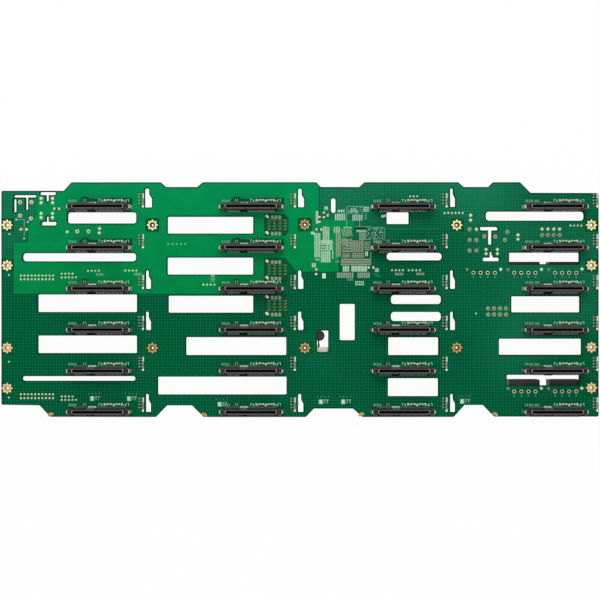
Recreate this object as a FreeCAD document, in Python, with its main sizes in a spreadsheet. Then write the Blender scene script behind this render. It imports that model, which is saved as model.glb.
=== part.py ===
import FreeCAD, Part
import math
import os

import Sketcher

# Drive backplane board for a four-unit server: 24 drive bays in four columns and six rows.
# The board lies flat with its drive side up and rests on the tallest parts of its rear side.
# X runs along the board, Y across it and Z up out of the drive side. The origin is below the
# middle of the board's outline, on the surface that the board lies on. Lengths are millimetres.

Vector = FreeCAD.Vector

COLUMNS = 4
ROWS = 6
KEYHOLE_ROWS = (1, 3, 4, 6)
SIGNAL_CONTACTS = 7
POWER_CONTACTS = 15
CABLE_CELLS = 4
NINE_PIN_COLUMNS = 5
FINS = 7

# Two points closer than this are the same point.
CLOSE = 0.001

SIZES = {
    # the bare board
    "board_length": 415.4,
    "board_width": 163.3,
    "board_thickness": 2.4,
    "board_corner_round": 1.4,
    "rear_clearance": 12.8,
    # the grid of drive bays, at the middle of each connector's slot
    "column_pitch": 105.5,
    "row_pitch": 28.4,
    "grid_middle_x": 18.9,
    "grid_middle_y": -6.5,
    # holes that the board is screwed down by
    "screw_hole_radius": 1.75,
    "side_holes_span": 406.4,
    "side_holes_middle_x": -0.5,
    "side_holes_middle_y": -4.8,
    "corner_holes_span": 113.4,
    "side_holes_pitch": 57.1,
    "inner_holes_pitch": 105.9,
    "inner_holes_middle_x": 3.4,
    "inner_holes_low": -33.4,
    "inner_holes_high": 51.9,
    # keyhole slots between the columns
    "keyhole_offset_x": 32.6,
    "keyhole_offset_y": -0.4,
    "keyhole_height": 12.7,
    "keyhole_wide": 3.7,
    "keyhole_narrow": 2.2,
    "keyhole_wide_height": 6.2,
    "keyhole_shoulder": 2.4,
    "keyhole_tip": 0.6,
    # housing of a drive connector
    "housing_length": 42.6,
    "housing_width": 5.0,
    "housing_height": 9.0,
    "housing_corner_cut": 0.9,
    "ear_length": 2.6,
    "ear_height": 6.8,
    "guide_hole_width": 1.8,
    "guide_hole_depth": 5.0,
    "slot_length": 34.4,
    "slot_width": 1.5,
    "slot_depth": 6.4,
    "slot_rim_width": 0.55,
    "slot_rim_height": 0.3,
    # key block in front of a housing, between its signal and its power contacts
    "key_left": -8.0,
    "key_right": -2.6,
    "key_reach": 1.2,
    "key_height": 3.4,
    # contacts of a drive connector
    "contact_pitch": 1.27,
    "contact_width": 0.6,
    "tail_reach": 1.1,
    "tail_height": 0.5,
    "signal_middle": -12.2,
    "power_middle": 6.85,
    # solder tabs that hold the ends of a drive connector down
    "tab_reach": 1.6,
    "tab_width": 3.2,
    "tab_end_width": 2.2,
    "tab_height": 1.2,
    # status lamps beside the bays
    "lamp_offset": 30.0,
    "lamp_offset_last": 28.6,
    "lamp_length": 1.6,
    "lamp_width": 0.9,
    "lamp_height": 0.7,
    # power headers on the rear side, four round pins each
    "power_header_length": 21.6,
    "power_header_ahead": 7.8,
    "power_header_behind": 2.4,
    "power_header_height": 11.2,
    "power_header_wall": 1.1,
    "power_header_mouth_depth": 6.8,
    "power_header_key": 2.2,
    "power_header_ear_reach": 1.7,
    "power_header_ear_length": 4.0,
    "power_header_ear_height": 5.0,
    # eight-way cable headers on the rear side
    "cable_header_length": 18.0,
    "cable_header_width": 9.6,
    "cable_header_pitch": 4.2,
    "cable_header_cell": 3.5,
    "cable_header_depth": 9.0,
    "cable_header_latch_length": 3.4,
    "cable_header_latch_reach": 1.3,
    "cable_header_latch_height": 3.0,
    # data connectors on the rear side, a metal cage each
    "cage_length": 22.6,
    "cage_width": 15.8,
    "cage_height": 9.5,
    "cage_wall": 0.8,
    "cage_depth": 16.5,
    # controller chip and its heat sink
    "chip_side": 25.0,
    "chip_thickness": 2.0,
    "sink_side": 27.0,
    "sink_base": 2.0,
    "sink_height": 9.0,
    "fin_thickness": 1.1,
    # twenty-pin box headers and nine-pin headers
    "box_header_length": 30.5,
    "box_header_width": 8.8,
    "box_header_height": 9.1,
    "box_header_wall": 1.2,
    "box_header_depth": 6.6,
    "strip_pitch": 2.54,
    "strip_width": 2.5,
    "strip_height": 2.5,
    "pin_side": 0.64,
    "pin_reach": 6.0,
    # chokes, fuses and bulk capacitors of the power feed
    "choke_corner_cut": 1.5,
    "choke_height": 9.6,
    "fuse_height": 7.5,
    "capacitor_radius": 5.0,
    "capacitor_base_side": 10.3,
    "capacitor_base_cut": 2.0,
    "capacitor_base_height": 1.2,
    # fan header and the round capacitor behind the middle window
    "fan_header_length": 10.2,
    "fan_header_width": 7.4,
    "fan_header_height": 8.6,
    "fan_header_wall": 1.0,
    "fan_header_depth": 5.6,
    "round_capacitor_radius": 3.6,
    "round_capacitor_height": 8.0,
    # how far a cutting shape runs past the face that it cuts
    "overshoot": 1.0,
}

# Notches in the long edges, with sides at 45 degrees: from, to and depth of the notch's floor.
# A notch whose floor runs past the board's end makes a stepped shoulder.
TOP_NOTCHES = {
    "top_left": (-212.0, -164.3, 6.0),
    "top_first": (-93.0, -71.6, 3.4),
    "top_second": (14.4, 41.2, 3.4),
    "top_third": (113.9, 131.0, 3.4),
    "top_right": (160.3, 212.0, 7.4),
}
BOTTOM_NOTCHES = {
    "bottom_left": (-212.0, -181.2, 8.2),
    "bottom_first": (-92.4, -75.1, 8.1),
    "bottom_second": (9.8, 36.8, 5.9),
    "bottom_third": (114.4, 127.3, 8.2),
}

# Air windows: column and row of the bay above, then left, right, low and high side from the
# middle of that bay's slot. The soft ones also have a corner radius.
SHARP_WINDOWS = {
    "window_d": (1, 3, -42.8, 26.0, -16.3, -4.2),
    "window_e": (1, 4, -42.8, 26.0, -16.5, -4.3),
    "window_g": (2, 1, -58.2, 1.3, -18.5, -6.8),
    "window_i": (2, 2, -58.2, 1.3, -18.6, -6.9),
    "window_j": (2, 3, -57.6, 1.3, -16.8, -5.1),
    "window_k": (2, 4, -45.3, 24.3, -17.9, -5.4),
    "window_l": (2, 5, -65.0, 24.5, -17.0, -4.5),
    "window_n": (3, 1, -11.3, 4.0, -11.9, -3.8),
    "window_q": (3, 4, -10.2, 24.6, -17.9, -5.6),
    "window_r": (3, 5, -10.4, 24.5, -18.2, -5.6),
    "window_u": (3, 4, -60.2, -51.7, -16.1, -0.8),
    "window_v": (3, 3, -44.0, -33.5, -36.0, -10.8),
    "window_x": (4, 2, -31.7, 17.0, -11.4, -3.8),
    "window_y": (4, 3, -30.2, 17.4, -16.6, -5.5),
    "window_z": (4, 4, -38.8, 18.6, -17.7, -6.5),
    "window_aa": (4, 5, -33.4, 17.0, -10.9, -3.9),
}
ROUND_WINDOWS = {
    "window_b": (1, 1, -22.1, 25.5, -11.5, -3.8, 1.7),
    "window_c": (1, 2, -53.4, 25.4, -9.5, -3.9, 2.0),
    "window_f": (1, 5, -53.7, 24.9, -7.4, -4.2, 1.5),
    "window_o": (3, 2, -11.3, 27.1, -8.9, -3.8, 2.3),
    "window_p": (3, 3, -8.3, 26.5, -10.8, -4.6, 2.1),
    "window_s": (3, 3, -8.3, 26.5, -22.6, -16.3, 2.1),
    "window_t": (3, 1, -50.0, -46.9, -4.1, 6.0, 1.5),
    "window_w": (4, 1, -47.9, 20.4, -9.8, -3.9, 2.1),
}

# Narrow slots that part the pins of the power feed: sides from the slot of bay 1-1 or 4-1.
FEED_SLOTS = {
    "slot_left_bar": (1, -59.6, -43.9, 6.6, 8.2),
    "slot_left_stem": (1, -51.3, -49.9, -2.1, 7.4),
    "slot_left_side": (1, -59.6, -57.9, -3.6, 5.4),
    "slot_upper_bar": (1, -41.6, -30.4, 8.5, 10.5),
    "slot_upper_stem": (1, -37.2, -35.6, 4.4, 9.5),
    "slot_lower_bar": (1, -40.6, -30.0, -13.0, -10.9),
    "slot_lower_stem": (1, -37.0, -35.6, -11.9, -6.5),
    "slot_right_bar": (4, -52.0, -39.7, -16.3, -13.9),
    "slot_right_stem": (4, -46.3, -43.9, -26.2, -15.1),
    "slot_foot_stem": (4, -45.2, -43.0, -36.5, -31.2),
    "slot_foot_bar": (4, -50.1, -38.6, -37.7, -35.3),
}

# Middles of the parts on the rear side, from the middle of the board's outline.
POWER_HEADERS = {
    "power_header_1": (128.4, 18.6),
    "power_header_2": (156.4, 18.6),
    "power_header_3": (184.6, 18.6),
    "power_header_4": (156.5, -63.9),
    "power_header_5": (184.8, -63.9),
}
CABLE_HEADERS = {
    "cable_header_1": (174.4, 46.9),
    "cable_header_2": (137.0, -8.2),
}
DATA_CONNECTORS = {
    "data_connector_1": (-19.1, 52.2),
    "data_connector_2": (-19.1, 21.1),
    "data_connector_3": (-19.1, -4.2),
}
BOX_HEADERS = {
    "box_header_upper": (-182.9, 15.4),
    "box_header_lower": (-182.9, -67.2),
}
NINE_PIN_HEADERS = {
    "nine_pin_header_upper": (-160.7, 16.7),
    "nine_pin_header_lower": (-160.7, -68.6),
}
CHOKES = {
    "choke_left": (-176.0, 63.5, 12.0, 10.2),
    "choke_right": (120.3, 41.5, 9.4, 20.0),
}
FUSES = {
    "fuse_left_outer": (-195.2, 63.2, 4.0, 13.6),
    "fuse_left_inner": (-186.4, 62.2, 5.0, 13.6),
    "fuse_right_outer": (128.1, 38.7, 4.6, 15.0),
    "fuse_right_inner": (137.0, 38.7, 5.0, 15.0),
}
CAPACITORS = {
    "capacitor_1": (-139.0, 72.0),
    "capacitor_2": (191.0, 67.5),
    "capacitor_3": (-137.0, -70.0),
    "capacitor_4": (196.0, -73.5),
}
PIN_STRIPS = {
    "strip_a": (191.9, 51.6, 4),
    "strip_b": (106.9, 60.3, 6),
    "strip_c": (-143.8, 20.0, 4),
    "strip_d": (-117.7, 20.2, 4),
    "strip_e": (-85.8, 38.7, 5),
    "strip_f": (-63.4, 10.5, 4),
    "strip_g": (78.6, 71.5, 3),
    "strip_i": (67.8, 20.4, 4),
    "strip_j": (80.8, 20.4, 5),
}
SINGLE_PLACES = {
    "chip_place": (36.9, 38.0),
    "fan_header_place": (15.6, -37.2),
    "round_capacitor_place": (13.6, -25.2),
}


def table_sizes(table, fields, skip=0):
    """Name each number of a table after its row and its field, past the entries to skip."""
    named = {}
    for row, entries in table.items():
        for field, number in zip(fields, entries[skip:]):
            named[f"{row}_{field}"] = number
    return named


NUMBERS = dict(SIZES)
NUMBERS.update(table_sizes(TOP_NOTCHES, ("from", "to", "depth")))
NUMBERS.update(table_sizes(BOTTOM_NOTCHES, ("from", "to", "depth")))
NUMBERS.update(table_sizes(SHARP_WINDOWS, ("left", "right", "low", "high"), skip=2))
NUMBERS.update(table_sizes(ROUND_WINDOWS, ("left", "right", "low", "high", "corner"), skip=2))
NUMBERS.update(table_sizes(FEED_SLOTS, ("left", "right", "low", "high"), skip=1))
for places in (POWER_HEADERS, CABLE_HEADERS, DATA_CONNECTORS, BOX_HEADERS, NINE_PIN_HEADERS,
               CAPACITORS, PIN_STRIPS, SINGLE_PLACES):
    NUMBERS.update(table_sizes(places, ("x", "y")))
for parts in (CHOKES, FUSES):
    NUMBERS.update(table_sizes(parts, ("x", "y", "length", "width")))


class Length:
    """A size as its number and as the expression that the document keeps for it."""

    def __init__(self, number, text):
        self.number = number
        self.text = text

    def __add__(self, other):
        other = as_length(other)
        return Length(self.number + other.number, f"({self.text} + {other.text})")

    def __sub__(self, other):
        other = as_length(other)
        return Length(self.number - other.number, f"({self.text} - {other.text})")

    def __mul__(self, factor):
        factor = as_length(factor)
        return Length(self.number * factor.number, f"({self.text} * {factor.text})")

    def __truediv__(self, divisor):
        divisor = as_length(divisor)
        return Length(self.number / divisor.number, f"({self.text} / {divisor.text})")

    def __neg__(self):
        return Length(-self.number, f"(0 - {self.text})")


def as_length(value):
    if isinstance(value, Length):
        return value
    return Length(float(value), f"({value})")


def size(name):
    return Length(NUMBERS[name], f"Sizes.{name}")


def new_sheet(document):
    """A spreadsheet with every size as plain text and its name as the alias."""
    cells = document.addObject("Spreadsheet::Sheet", "Sizes")
    for row, (name, number) in enumerate(NUMBERS.items(), start=1):
        cells.set(f"A{row}", name)
        cells.set(f"B{row}", str(number))
        cells.setAlias(f"B{row}", name)
    document.recompute()
    return cells


doc = FreeCAD.newDocument("drive_backplane")
sheet = new_sheet(doc)

ZERO = as_length(0)
HALF_LENGTH = size("board_length") / 2
HALF_WIDTH = size("board_width") / 2
REAR_FACE = size("rear_clearance")
DRIVE_FACE = size("rear_clearance") + size("board_thickness")

nodes = []


def cell(name):
    """A size read back from the spreadsheet, for the shapes that are made without a sketch."""
    return float(sheet.get(name))


def spread(count, pitch, middle=0.0):
    """Evenly spaced places about a middle."""
    return [middle + pitch * (i - (count - 1) / 2) for i in range(count)]


def bay_x(column):
    return size("grid_middle_x") + size("column_pitch") * (column - (COLUMNS + 1) / 2)


def bay_y(row):
    return size("grid_middle_y") + size("row_pitch") * ((ROWS + 1) / 2 - row)


def place(thing, x, y, z):
    """Tie the thing's place to the sheet."""
    for axis, length in zip("xyz", (x, y, z)):
        thing.setExpression(f".Placement.Base.{axis}", length.text)


def keep(thing, label):
    """Name the thing as a node that is written to a file of its own."""
    thing.Label = label
    nodes.append(thing)


def origin_feature(body, role):
    return next(item for item in body.Origin.OriginFeatures if item.Role == role)


def new_sketch(body, name, plane="XY_Plane", lift=None):
    """An empty sketch on one of the body's own planes, moved along the plane's normal by lift."""
    sketch = body.newObject("Sketcher::SketchObject", name)
    sketch.AttachmentSupport = [(origin_feature(body, plane), "")]
    sketch.MapMode = "FlatFace"
    if lift is not None:
        sketch.setExpression(".AttachmentOffset.Base.z", lift.text)
    return sketch


def add_outline(sketch, corners):
    """Add one closed straight-sided outline whose corners are each held by two distances."""
    start = sketch.GeometryCount
    count = len(corners)
    points = [Vector(x.number, y.number, 0) for x, y in corners]
    sketch.addGeometry([Part.LineSegment(points[i], points[(i + 1) % count]) for i in range(count)])
    held = sketch.ConstraintCount + count
    constraints = [
        Sketcher.Constraint("Coincident", start + i, 2, start + (i + 1) % count, 1) for i in range(count)
    ]
    for i, point in enumerate(points):
        constraints.append(Sketcher.Constraint("DistanceX", start + i, 1, point.x))
        constraints.append(Sketcher.Constraint("DistanceY", start + i, 1, point.y))
    sketch.addConstraint(constraints)
    for i, (x, y) in enumerate(corners):
        sketch.setExpression(f"Constraints[{held + 2 * i}]", x.text)
        sketch.setExpression(f"Constraints[{held + 2 * i + 1}]", y.text)


def rectangle(left, right, low, high):
    return [(left, low), (right, low), (right, high), (left, high)]


def hexagon(x, y, width):
    """A regular hexagon by its width across the flats."""
    half = width / 2
    flat = half * math.tan(math.pi / 6)
    return [
        (x - flat, y - half), (x + flat, y - half), (x + flat * 2, y),
        (x + flat, y + half), (x - flat, y + half), (x - flat * 2, y),
    ]


def cut_rectangle(left, right, low, high, cut):
    """A rectangle with its four corners cut off at 45 degrees."""
    return [
        (left + cut, low), (right - cut, low), (right, low + cut), (right, high - cut),
        (right - cut, high), (left + cut, high), (left, high - cut), (left, low + cut),
    ]


def outline_sketch(body, name, outlines, plane="XY_Plane", lift=None):
    sketch = new_sketch(body, name, plane, lift)
    for corners in outlines:
        add_outline(sketch, corners)
    return sketch


def rounded_sketch(body, name, left, right, low, high, corner, lift):
    """A rectangle with round corners: four sides, four tangent arcs and one radius."""
    sketch = new_sketch(body, name, lift=lift)
    x0, x1, y0, y1 = (side.number for side in (left, right, low, high))
    r = corner.number
    ends = [
        (Vector(x0 + r, y0, 0), Vector(x1 - r, y0, 0)), (Vector(x1, y0 + r, 0), Vector(x1, y1 - r, 0)),
        (Vector(x1 - r, y1, 0), Vector(x0 + r, y1, 0)), (Vector(x0, y1 - r, 0), Vector(x0, y0 + r, 0)),
    ]
    middles = [
        Vector(x1 - r, y0 + r, 0), Vector(x1 - r, y1 - r, 0),
        Vector(x0 + r, y1 - r, 0), Vector(x0 + r, y0 + r, 0),
    ]
    quarter = math.pi / 2
    sides = [Part.LineSegment(first, last) for first, last in ends]
    arcs = [
        Part.ArcOfCircle(Part.Circle(middle, Vector(0, 0, 1), r), quarter * (i - 1), quarter * i)
        for i, middle in enumerate(middles)
    ]
    sketch.addGeometry(sides + arcs)
    constraints = [Sketcher.Constraint(kind, i) for i, kind in enumerate(("Horizontal", "Vertical") * 2)]
    for i in range(4):
        constraints.append(Sketcher.Constraint("Tangent", i, 2, 4 + i, 1))
        constraints.append(Sketcher.Constraint("Tangent", 4 + i, 2, (i + 1) % 4, 1))
    constraints += [Sketcher.Constraint("Equal", 4, 4 + i) for i in range(1, 4)]
    held = len(constraints)
    constraints += [
        Sketcher.Constraint("Radius", 4, r),
        Sketcher.Constraint("DistanceX", 3, 1, x0),
        Sketcher.Constraint("DistanceX", 1, 1, x1),
        Sketcher.Constraint("DistanceY", 0, 1, y0),
        Sketcher.Constraint("DistanceY", 2, 1, y1),
    ]
    sketch.addConstraint(constraints)
    for i, length in enumerate((corner, left, right, low, high)):
        sketch.setExpression(f"Constraints[{held + i}]", length.text)
    return sketch


def circle_sketch(body, name, circles, lift=None):
    """Circles in one sketch, each held by its radius and its middle."""
    sketch = new_sketch(body, name, lift=lift)
    sketch.addGeometry([
        Part.Circle(Vector(x.number, y.number, 0), Vector(0, 0, 1), radius.number) for x, y, radius in circles
    ])
    constraints = []
    for i, (x, y, radius) in enumerate(circles):
        constraints.append(Sketcher.Constraint("Radius", i, radius.number))
        constraints.append(Sketcher.Constraint("DistanceX", i, 3, x.number))
        constraints.append(Sketcher.Constraint("DistanceY", i, 3, y.number))
    sketch.addConstraint(constraints)
    for i, (x, y, radius) in enumerate(circles):
        for step, length in enumerate((radius, x, y)):
            sketch.setExpression(f"Constraints[{3 * i + step}]", length.text)
    return sketch


def pad(body, sketch, name, length, reverse=False):
    feature = body.newObject("PartDesign::Pad", name)
    feature.Profile = sketch
    feature.Reversed = reverse
    feature.Length = length.number
    feature.setExpression("Length", length.text)
    return feature


def pocket(body, sketch, name, depth=None, reverse=False):
    """Cut the sketch out of the body, to a depth or right through."""
    feature = body.newObject("PartDesign::Pocket", name)
    feature.Profile = sketch
    feature.Reversed = reverse
    if depth is None:
        feature.Type = "ThroughAll"
    else:
        feature.Length = depth.number
        feature.setExpression("Length", depth.text)
    return feature


def row_of_copies(body, feature, name, axis, pitch, count):
    """Repeat a feature along one of the body's axes."""
    pattern = body.newObject("PartDesign::LinearPattern", name)
    pattern.Originals = [feature]
    pattern.Direction = (origin_feature(body, axis), [""])
    pattern.Length = pitch.number * (count - 1)
    pattern.setExpression("Length", (pitch * (count - 1)).text)
    pattern.Occurrences = count
    body.Tip = pattern
    return pattern


def new_body(label):
    return doc.addObject("PartDesign::Body", label)


# The board: a flat plate with stepped shoulders, notches, air windows, keyholes and narrow slots.

def notch_outline(name, edge):
    """A notch with 45 degree sides, open past the board's long edge on the given side."""
    first = size(f"{name}_from")
    last = size(f"{name}_to")
    depth = size(f"{name}_depth")
    over = size("overshoot")
    floor = (HALF_WIDTH - depth) * edge
    outside = (HALF_WIDTH + over) * edge
    return [
        (first - depth - over, outside), (last + depth + over, outside), (last, floor), (first, floor),
    ]


def keyhole_outline(row):
    """A bottle-shaped slot: straight on its left, with a shoulder on its right and a cut tip."""
    left = bay_x(1) + size("keyhole_offset_x")
    low = bay_y(row) + size("keyhole_offset_y")
    top = low + size("keyhole_height")
    narrow = left + size("keyhole_narrow")
    wide = left + size("keyhole_wide")
    shoulder = low + size("keyhole_wide_height")
    tip = size("keyhole_tip")
    return [
        (left, low), (wide, low), (wide, shoulder), (narrow, shoulder + size("keyhole_shoulder")),
        (narrow, top - tip), (narrow - tip, top), (left + tip, top), (left, top - tip),
    ]


def screw_holes():
    """Four screw holes in each end column and two in each of the three inner columns."""
    radius = size("screw_hole_radius")
    holes = []
    for side in (-1, 1):
        x = size("side_holes_middle_x") + size("side_holes_span") * side / 2
        for span in ("corner_holes_span", "side_holes_pitch"):
            for end in (-1, 1):
                holes.append((x, size("side_holes_middle_y") + size(span) * end / 2, radius))
    for step in (-1, 0, 1):
        x = size("inner_holes_middle_x") + size("inner_holes_pitch") * step
        holes.append((x, size("inner_holes_low"), radius))
        holes.append((x, size("inner_holes_high"), radius))
    return holes


def end_corner_edges(shape):
    """The upright edges at the board's two ends."""
    names = []
    for index, edge in enumerate(shape.Edges, start=1):
        first, last = (vertex.Point for vertex in edge.Vertexes)
        upright = abs(first.x - last.x) + abs(first.y - last.y) < CLOSE
        if upright and abs(abs(first.x) - HALF_LENGTH.number) < CLOSE:
            names.append(f"Edge{index}")
    return names


def circuit_board():
    body = new_body("circuit_board")
    thickness = size("board_thickness")
    sides = (-HALF_LENGTH, HALF_LENGTH, -HALF_WIDTH, HALF_WIDTH)
    blank = outline_sketch(body, "board_blank", [rectangle(*sides)])
    pad(body, blank, "board_plate", thickness)
    for table, edge in ((TOP_NOTCHES, 1), (BOTTOM_NOTCHES, -1)):
        for name in table:
            sketch = outline_sketch(body, f"{name}_outline", [notch_outline(name, edge)], lift=thickness)
            cut = pocket(body, sketch, f"{name}_notch")
    doc.recompute()
    rounding = body.newObject("PartDesign::Fillet", "board_corners")
    rounding.Base = (cut, end_corner_edges(cut.Shape))
    rounding.setExpression("Radius", size("board_corner_round").text)
    for name, (column, row, *_) in SHARP_WINDOWS.items():
        sides = window_sides(name, column, row)
        sketch = outline_sketch(body, f"{name}_outline", [rectangle(*sides)], lift=thickness)
        pocket(body, sketch, name)
    for name, (column, row, *_) in ROUND_WINDOWS.items():
        sides = window_sides(name, column, row)
        sketch = rounded_sketch(body, f"{name}_outline", *sides, size(f"{name}_corner"), thickness)
        pocket(body, sketch, name)
    for name, (column, *_) in FEED_SLOTS.items():
        sides = window_sides(name, column, 1)
        sketch = outline_sketch(body, f"{name}_outline", [rectangle(*sides)], lift=thickness)
        pocket(body, sketch, name)
    for row in KEYHOLE_ROWS:
        sketch = outline_sketch(body, f"keyhole_outline_{row}", [keyhole_outline(row)], lift=thickness)
        cut = pocket(body, sketch, f"keyhole_{row}")
        row_of_copies(body, cut, f"keyholes_{row}", "X_Axis", size("column_pitch"), COLUMNS - 1)
    holes = circle_sketch(body, "screw_hole_circles", screw_holes(), thickness)
    pocket(body, holes, "screw_holes")
    place(body, ZERO, ZERO, REAR_FACE)
    keep(body, "circuit_board")


def window_sides(name, column, row):
    """The four sides of an opening, from the middle of a bay's slot."""
    x = bay_x(column)
    y = bay_y(row)
    left, right = (x + size(f"{name}_{side}") for side in ("left", "right"))
    low, high = (y + size(f"{name}_{side}") for side in ("low", "high"))
    return left, right, low, high


# The drive connectors: a housing with its slot and guide ears, contact tails and solder tabs.

def housing_pattern():
    """The housing that every bay repeats, with the middle of its slot on the board as its origin."""
    body = new_body("housing_pattern")
    half = size("housing_length") / 2
    side = size("housing_width") / 2
    ear = size("ear_length")
    low = size("ear_height")
    rim = size("slot_rim_width")
    high = size("housing_height") - size("slot_rim_height")
    foot_outline = cut_rectangle(-half, half, -side, side, size("housing_corner_cut"))
    foot = outline_sketch(body, "housing_foot", [foot_outline])
    pad(body, foot, "housing_base", low)
    block_outline = rectangle(ear - half, half - ear, -side, side)
    middle = outline_sketch(body, "housing_middle", [block_outline], lift=low)
    pad(body, middle, "housing_block", high - low)
    key_outline = rectangle(size("key_left"), size("key_right"), -side - size("key_reach"), -side)
    key = outline_sketch(body, "key_outline", [key_outline])
    pad(body, key, "key_block", size("key_height"))
    slot_half = size("slot_length") / 2
    slot_side = size("slot_width") / 2
    rim_outline = rectangle(-slot_half - rim, slot_half + rim, -slot_side - rim, slot_side + rim)
    raised = outline_sketch(body, "slot_rim_outline", [rim_outline], lift=high)
    pad(body, raised, "slot_rim", size("slot_rim_height"))
    slot_outline = rectangle(-slot_half, slot_half, -slot_side, slot_side)
    slot = outline_sketch(body, "slot_outline", [slot_outline], lift=size("housing_height"))
    pocket(body, slot, "slot", size("slot_depth"))
    guide_x = half - ear / 2
    holes = [hexagon(guide_x * end, ZERO, size("guide_hole_width")) for end in (-1, 1)]
    guides = outline_sketch(body, "guide_hole_outlines", holes, lift=low)
    pocket(body, guides, "guide_holes", size("guide_hole_depth"))
    return body


def box_at(x, y, z, length, width, height):
    """A box from its middle in X and Y and its lowest face."""
    return Part.makeBox(length, width, height, Vector(x - length / 2, y - width / 2, z))


def group(label, shapes, x, y, z):
    """Several separate solids that share one node."""
    feature = doc.addObject("Part::Feature", label)
    feature.Shape = Part.makeCompound(shapes)
    feature.Placement.Base = Vector(x.number, y.number, z.number)
    keep(feature, label)


def drive_connectors(pattern):
    for column in range(1, COLUMNS + 1):
        for row in range(1, ROWS + 1):
            name = f"drive_connector_{column}_{row}"
            connector = doc.addObject("Part::Compound", name)
            connector.Links = [pattern]
            place(connector, bay_x(column), bay_y(row), DRIVE_FACE)
            keep(connector, name)


def tail_at(x, y):
    """A solder tail that slopes from the housing's front wall down to the board."""
    wall = y - cell("housing_width") / 2
    corners = [(wall, 0), (wall - cell("tail_reach"), 0), (wall, cell("tail_height")), (wall, 0)]
    left = x - cell("contact_width") / 2
    side = Part.Face(Part.makePolygon([Vector(left, *corner) for corner in corners]))
    return side.extrude(Vector(cell("contact_width"), 0, 0))


def contact_tails():
    """The solder tails in front of each housing, a group for each column of bays."""
    pitch = cell("contact_pitch")
    places_x = spread(SIGNAL_CONTACTS, pitch, cell("signal_middle"))
    places_x += spread(POWER_CONTACTS, pitch, cell("power_middle"))
    for column in range(1, COLUMNS + 1):
        tails = [tail_at(x, -cell("row_pitch") * row) for row in range(ROWS) for x in places_x]
        group(f"contact_tails_{column}", tails, bay_x(column), bay_y(1), DRIVE_FACE)


def tab_at(x, y, side):
    """A tab against a housing's end face, narrower at its outer side."""
    near = x + side * cell("housing_length") / 2
    far = near + side * cell("tab_reach")
    wide = cell("tab_width") / 2
    slim = cell("tab_end_width") / 2
    corners = [(near, y - wide), (far, y - slim), (far, y + slim), (near, y + wide), (near, y - wide)]
    foot = Part.Face(Part.makePolygon([Vector(*corner, 0) for corner in corners]))
    return foot.extrude(Vector(0, 0, cell("tab_height")))


def solder_tabs():
    """A tab at each end of each housing."""
    tabs = [
        tab_at(x, y, side)
        for x in spread(COLUMNS, cell("column_pitch"))
        for y in spread(ROWS, cell("row_pitch"))
        for side in (-1, 1)
    ]
    group("solder_tabs", tabs, size("grid_middle_x"), size("grid_middle_y"), DRIVE_FACE)


def status_lamps():
    """A small lamp to the right of each bay's connector, closer in at the board's right end."""
    box_sizes = [cell(f"lamp_{side}") for side in ("length", "width", "height")]
    offsets = [cell("lamp_offset")] * (COLUMNS - 1) + [cell("lamp_offset_last")]
    lamps = []
    for bay, offset in zip(spread(COLUMNS, cell("column_pitch")), offsets):
        for y in spread(ROWS, cell("row_pitch")):
            lamps.append(box_at(bay + offset, y, 0, *box_sizes))
    group("status_lamps", lamps, size("grid_middle_x"), size("grid_middle_y"), DRIVE_FACE)


# The rear side: everything below hangs from the board's rear face, down to the resting surface.

def repeated(pattern, table):
    for name in table:
        copy = doc.addObject("Part::Compound", name)
        copy.Links = [pattern]
        place(copy, size(f"{name}_x"), size(f"{name}_y"), REAR_FACE)
        keep(copy, name)


def power_header_pattern():
    """A right-angle four-pin header with an ear at each side and a keyed mouth."""
    body = new_body("power_header_pattern")
    half = size("power_header_length") / 2
    ahead = size("power_header_ahead")
    behind = -size("power_header_behind")
    height = size("power_header_height")
    block = outline_sketch(body, "power_header_block_outline", [rectangle(-half, half, behind, ahead)])
    pad(body, block, "power_header_block", height, reverse=True)
    reach = half + size("power_header_ear_reach")
    ear_end = behind + size("power_header_ear_length")
    ears = outline_sketch(body, "power_header_ear_outline", [rectangle(-reach, reach, behind, ear_end)])
    pad(body, ears, "power_header_ears", size("power_header_ear_height"), reverse=True)
    wall = size("power_header_wall")
    key = size("power_header_key")
    inner = half - wall
    mouth = [
        (-inner, wall - height), (inner, wall - height), (inner, -wall - key), (inner - key, -wall),
        (key - inner, -wall), (-inner, -wall - key),
    ]
    mouth_outline = outline_sketch(body, "power_header_mouth_outline", [mouth], "XZ_Plane", -ahead)
    pocket(body, mouth_outline, "power_header_mouth", size("power_header_mouth_depth"), reverse=True)
    return body


def cable_header_pattern():
    """An upright eight-way header: two rows of four square cells and a latch ramp on one side."""
    body = new_body("cable_header_pattern")
    half = size("cable_header_length") / 2
    side = size("cable_header_width") / 2
    height = size("rear_clearance")
    block = outline_sketch(body, "cable_header_outline", [rectangle(-half, half, -side, side)])
    pad(body, block, "cable_header_block", height, reverse=True)
    latch_half = size("cable_header_latch_length") / 2
    latch_end = side + size("cable_header_latch_reach")
    latch_outline = rectangle(-latch_half, latch_half, side, latch_end)
    latch = outline_sketch(body, "cable_header_latch_outline", [latch_outline])
    pad(body, latch, "cable_header_latch", size("cable_header_latch_height"), reverse=True)
    pitch = size("cable_header_pitch")
    reach = size("cable_header_cell") / 2
    x = -pitch * (CABLE_CELLS - 1) / 2
    for number, row in enumerate((-1, 1), start=1):
        y = pitch * row / 2
        outline = [rectangle(x - reach, x + reach, y - reach, y + reach)]
        sketch = outline_sketch(body, f"cable_header_cell_outline_{number}", outline, lift=-height)
        cut = pocket(body, sketch, f"cable_header_cell_{number}", size("cable_header_depth"), reverse=True)
        row_of_copies(body, cut, f"cable_header_cells_{number}", "X_Axis", pitch, CABLE_CELLS)
    return body


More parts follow.
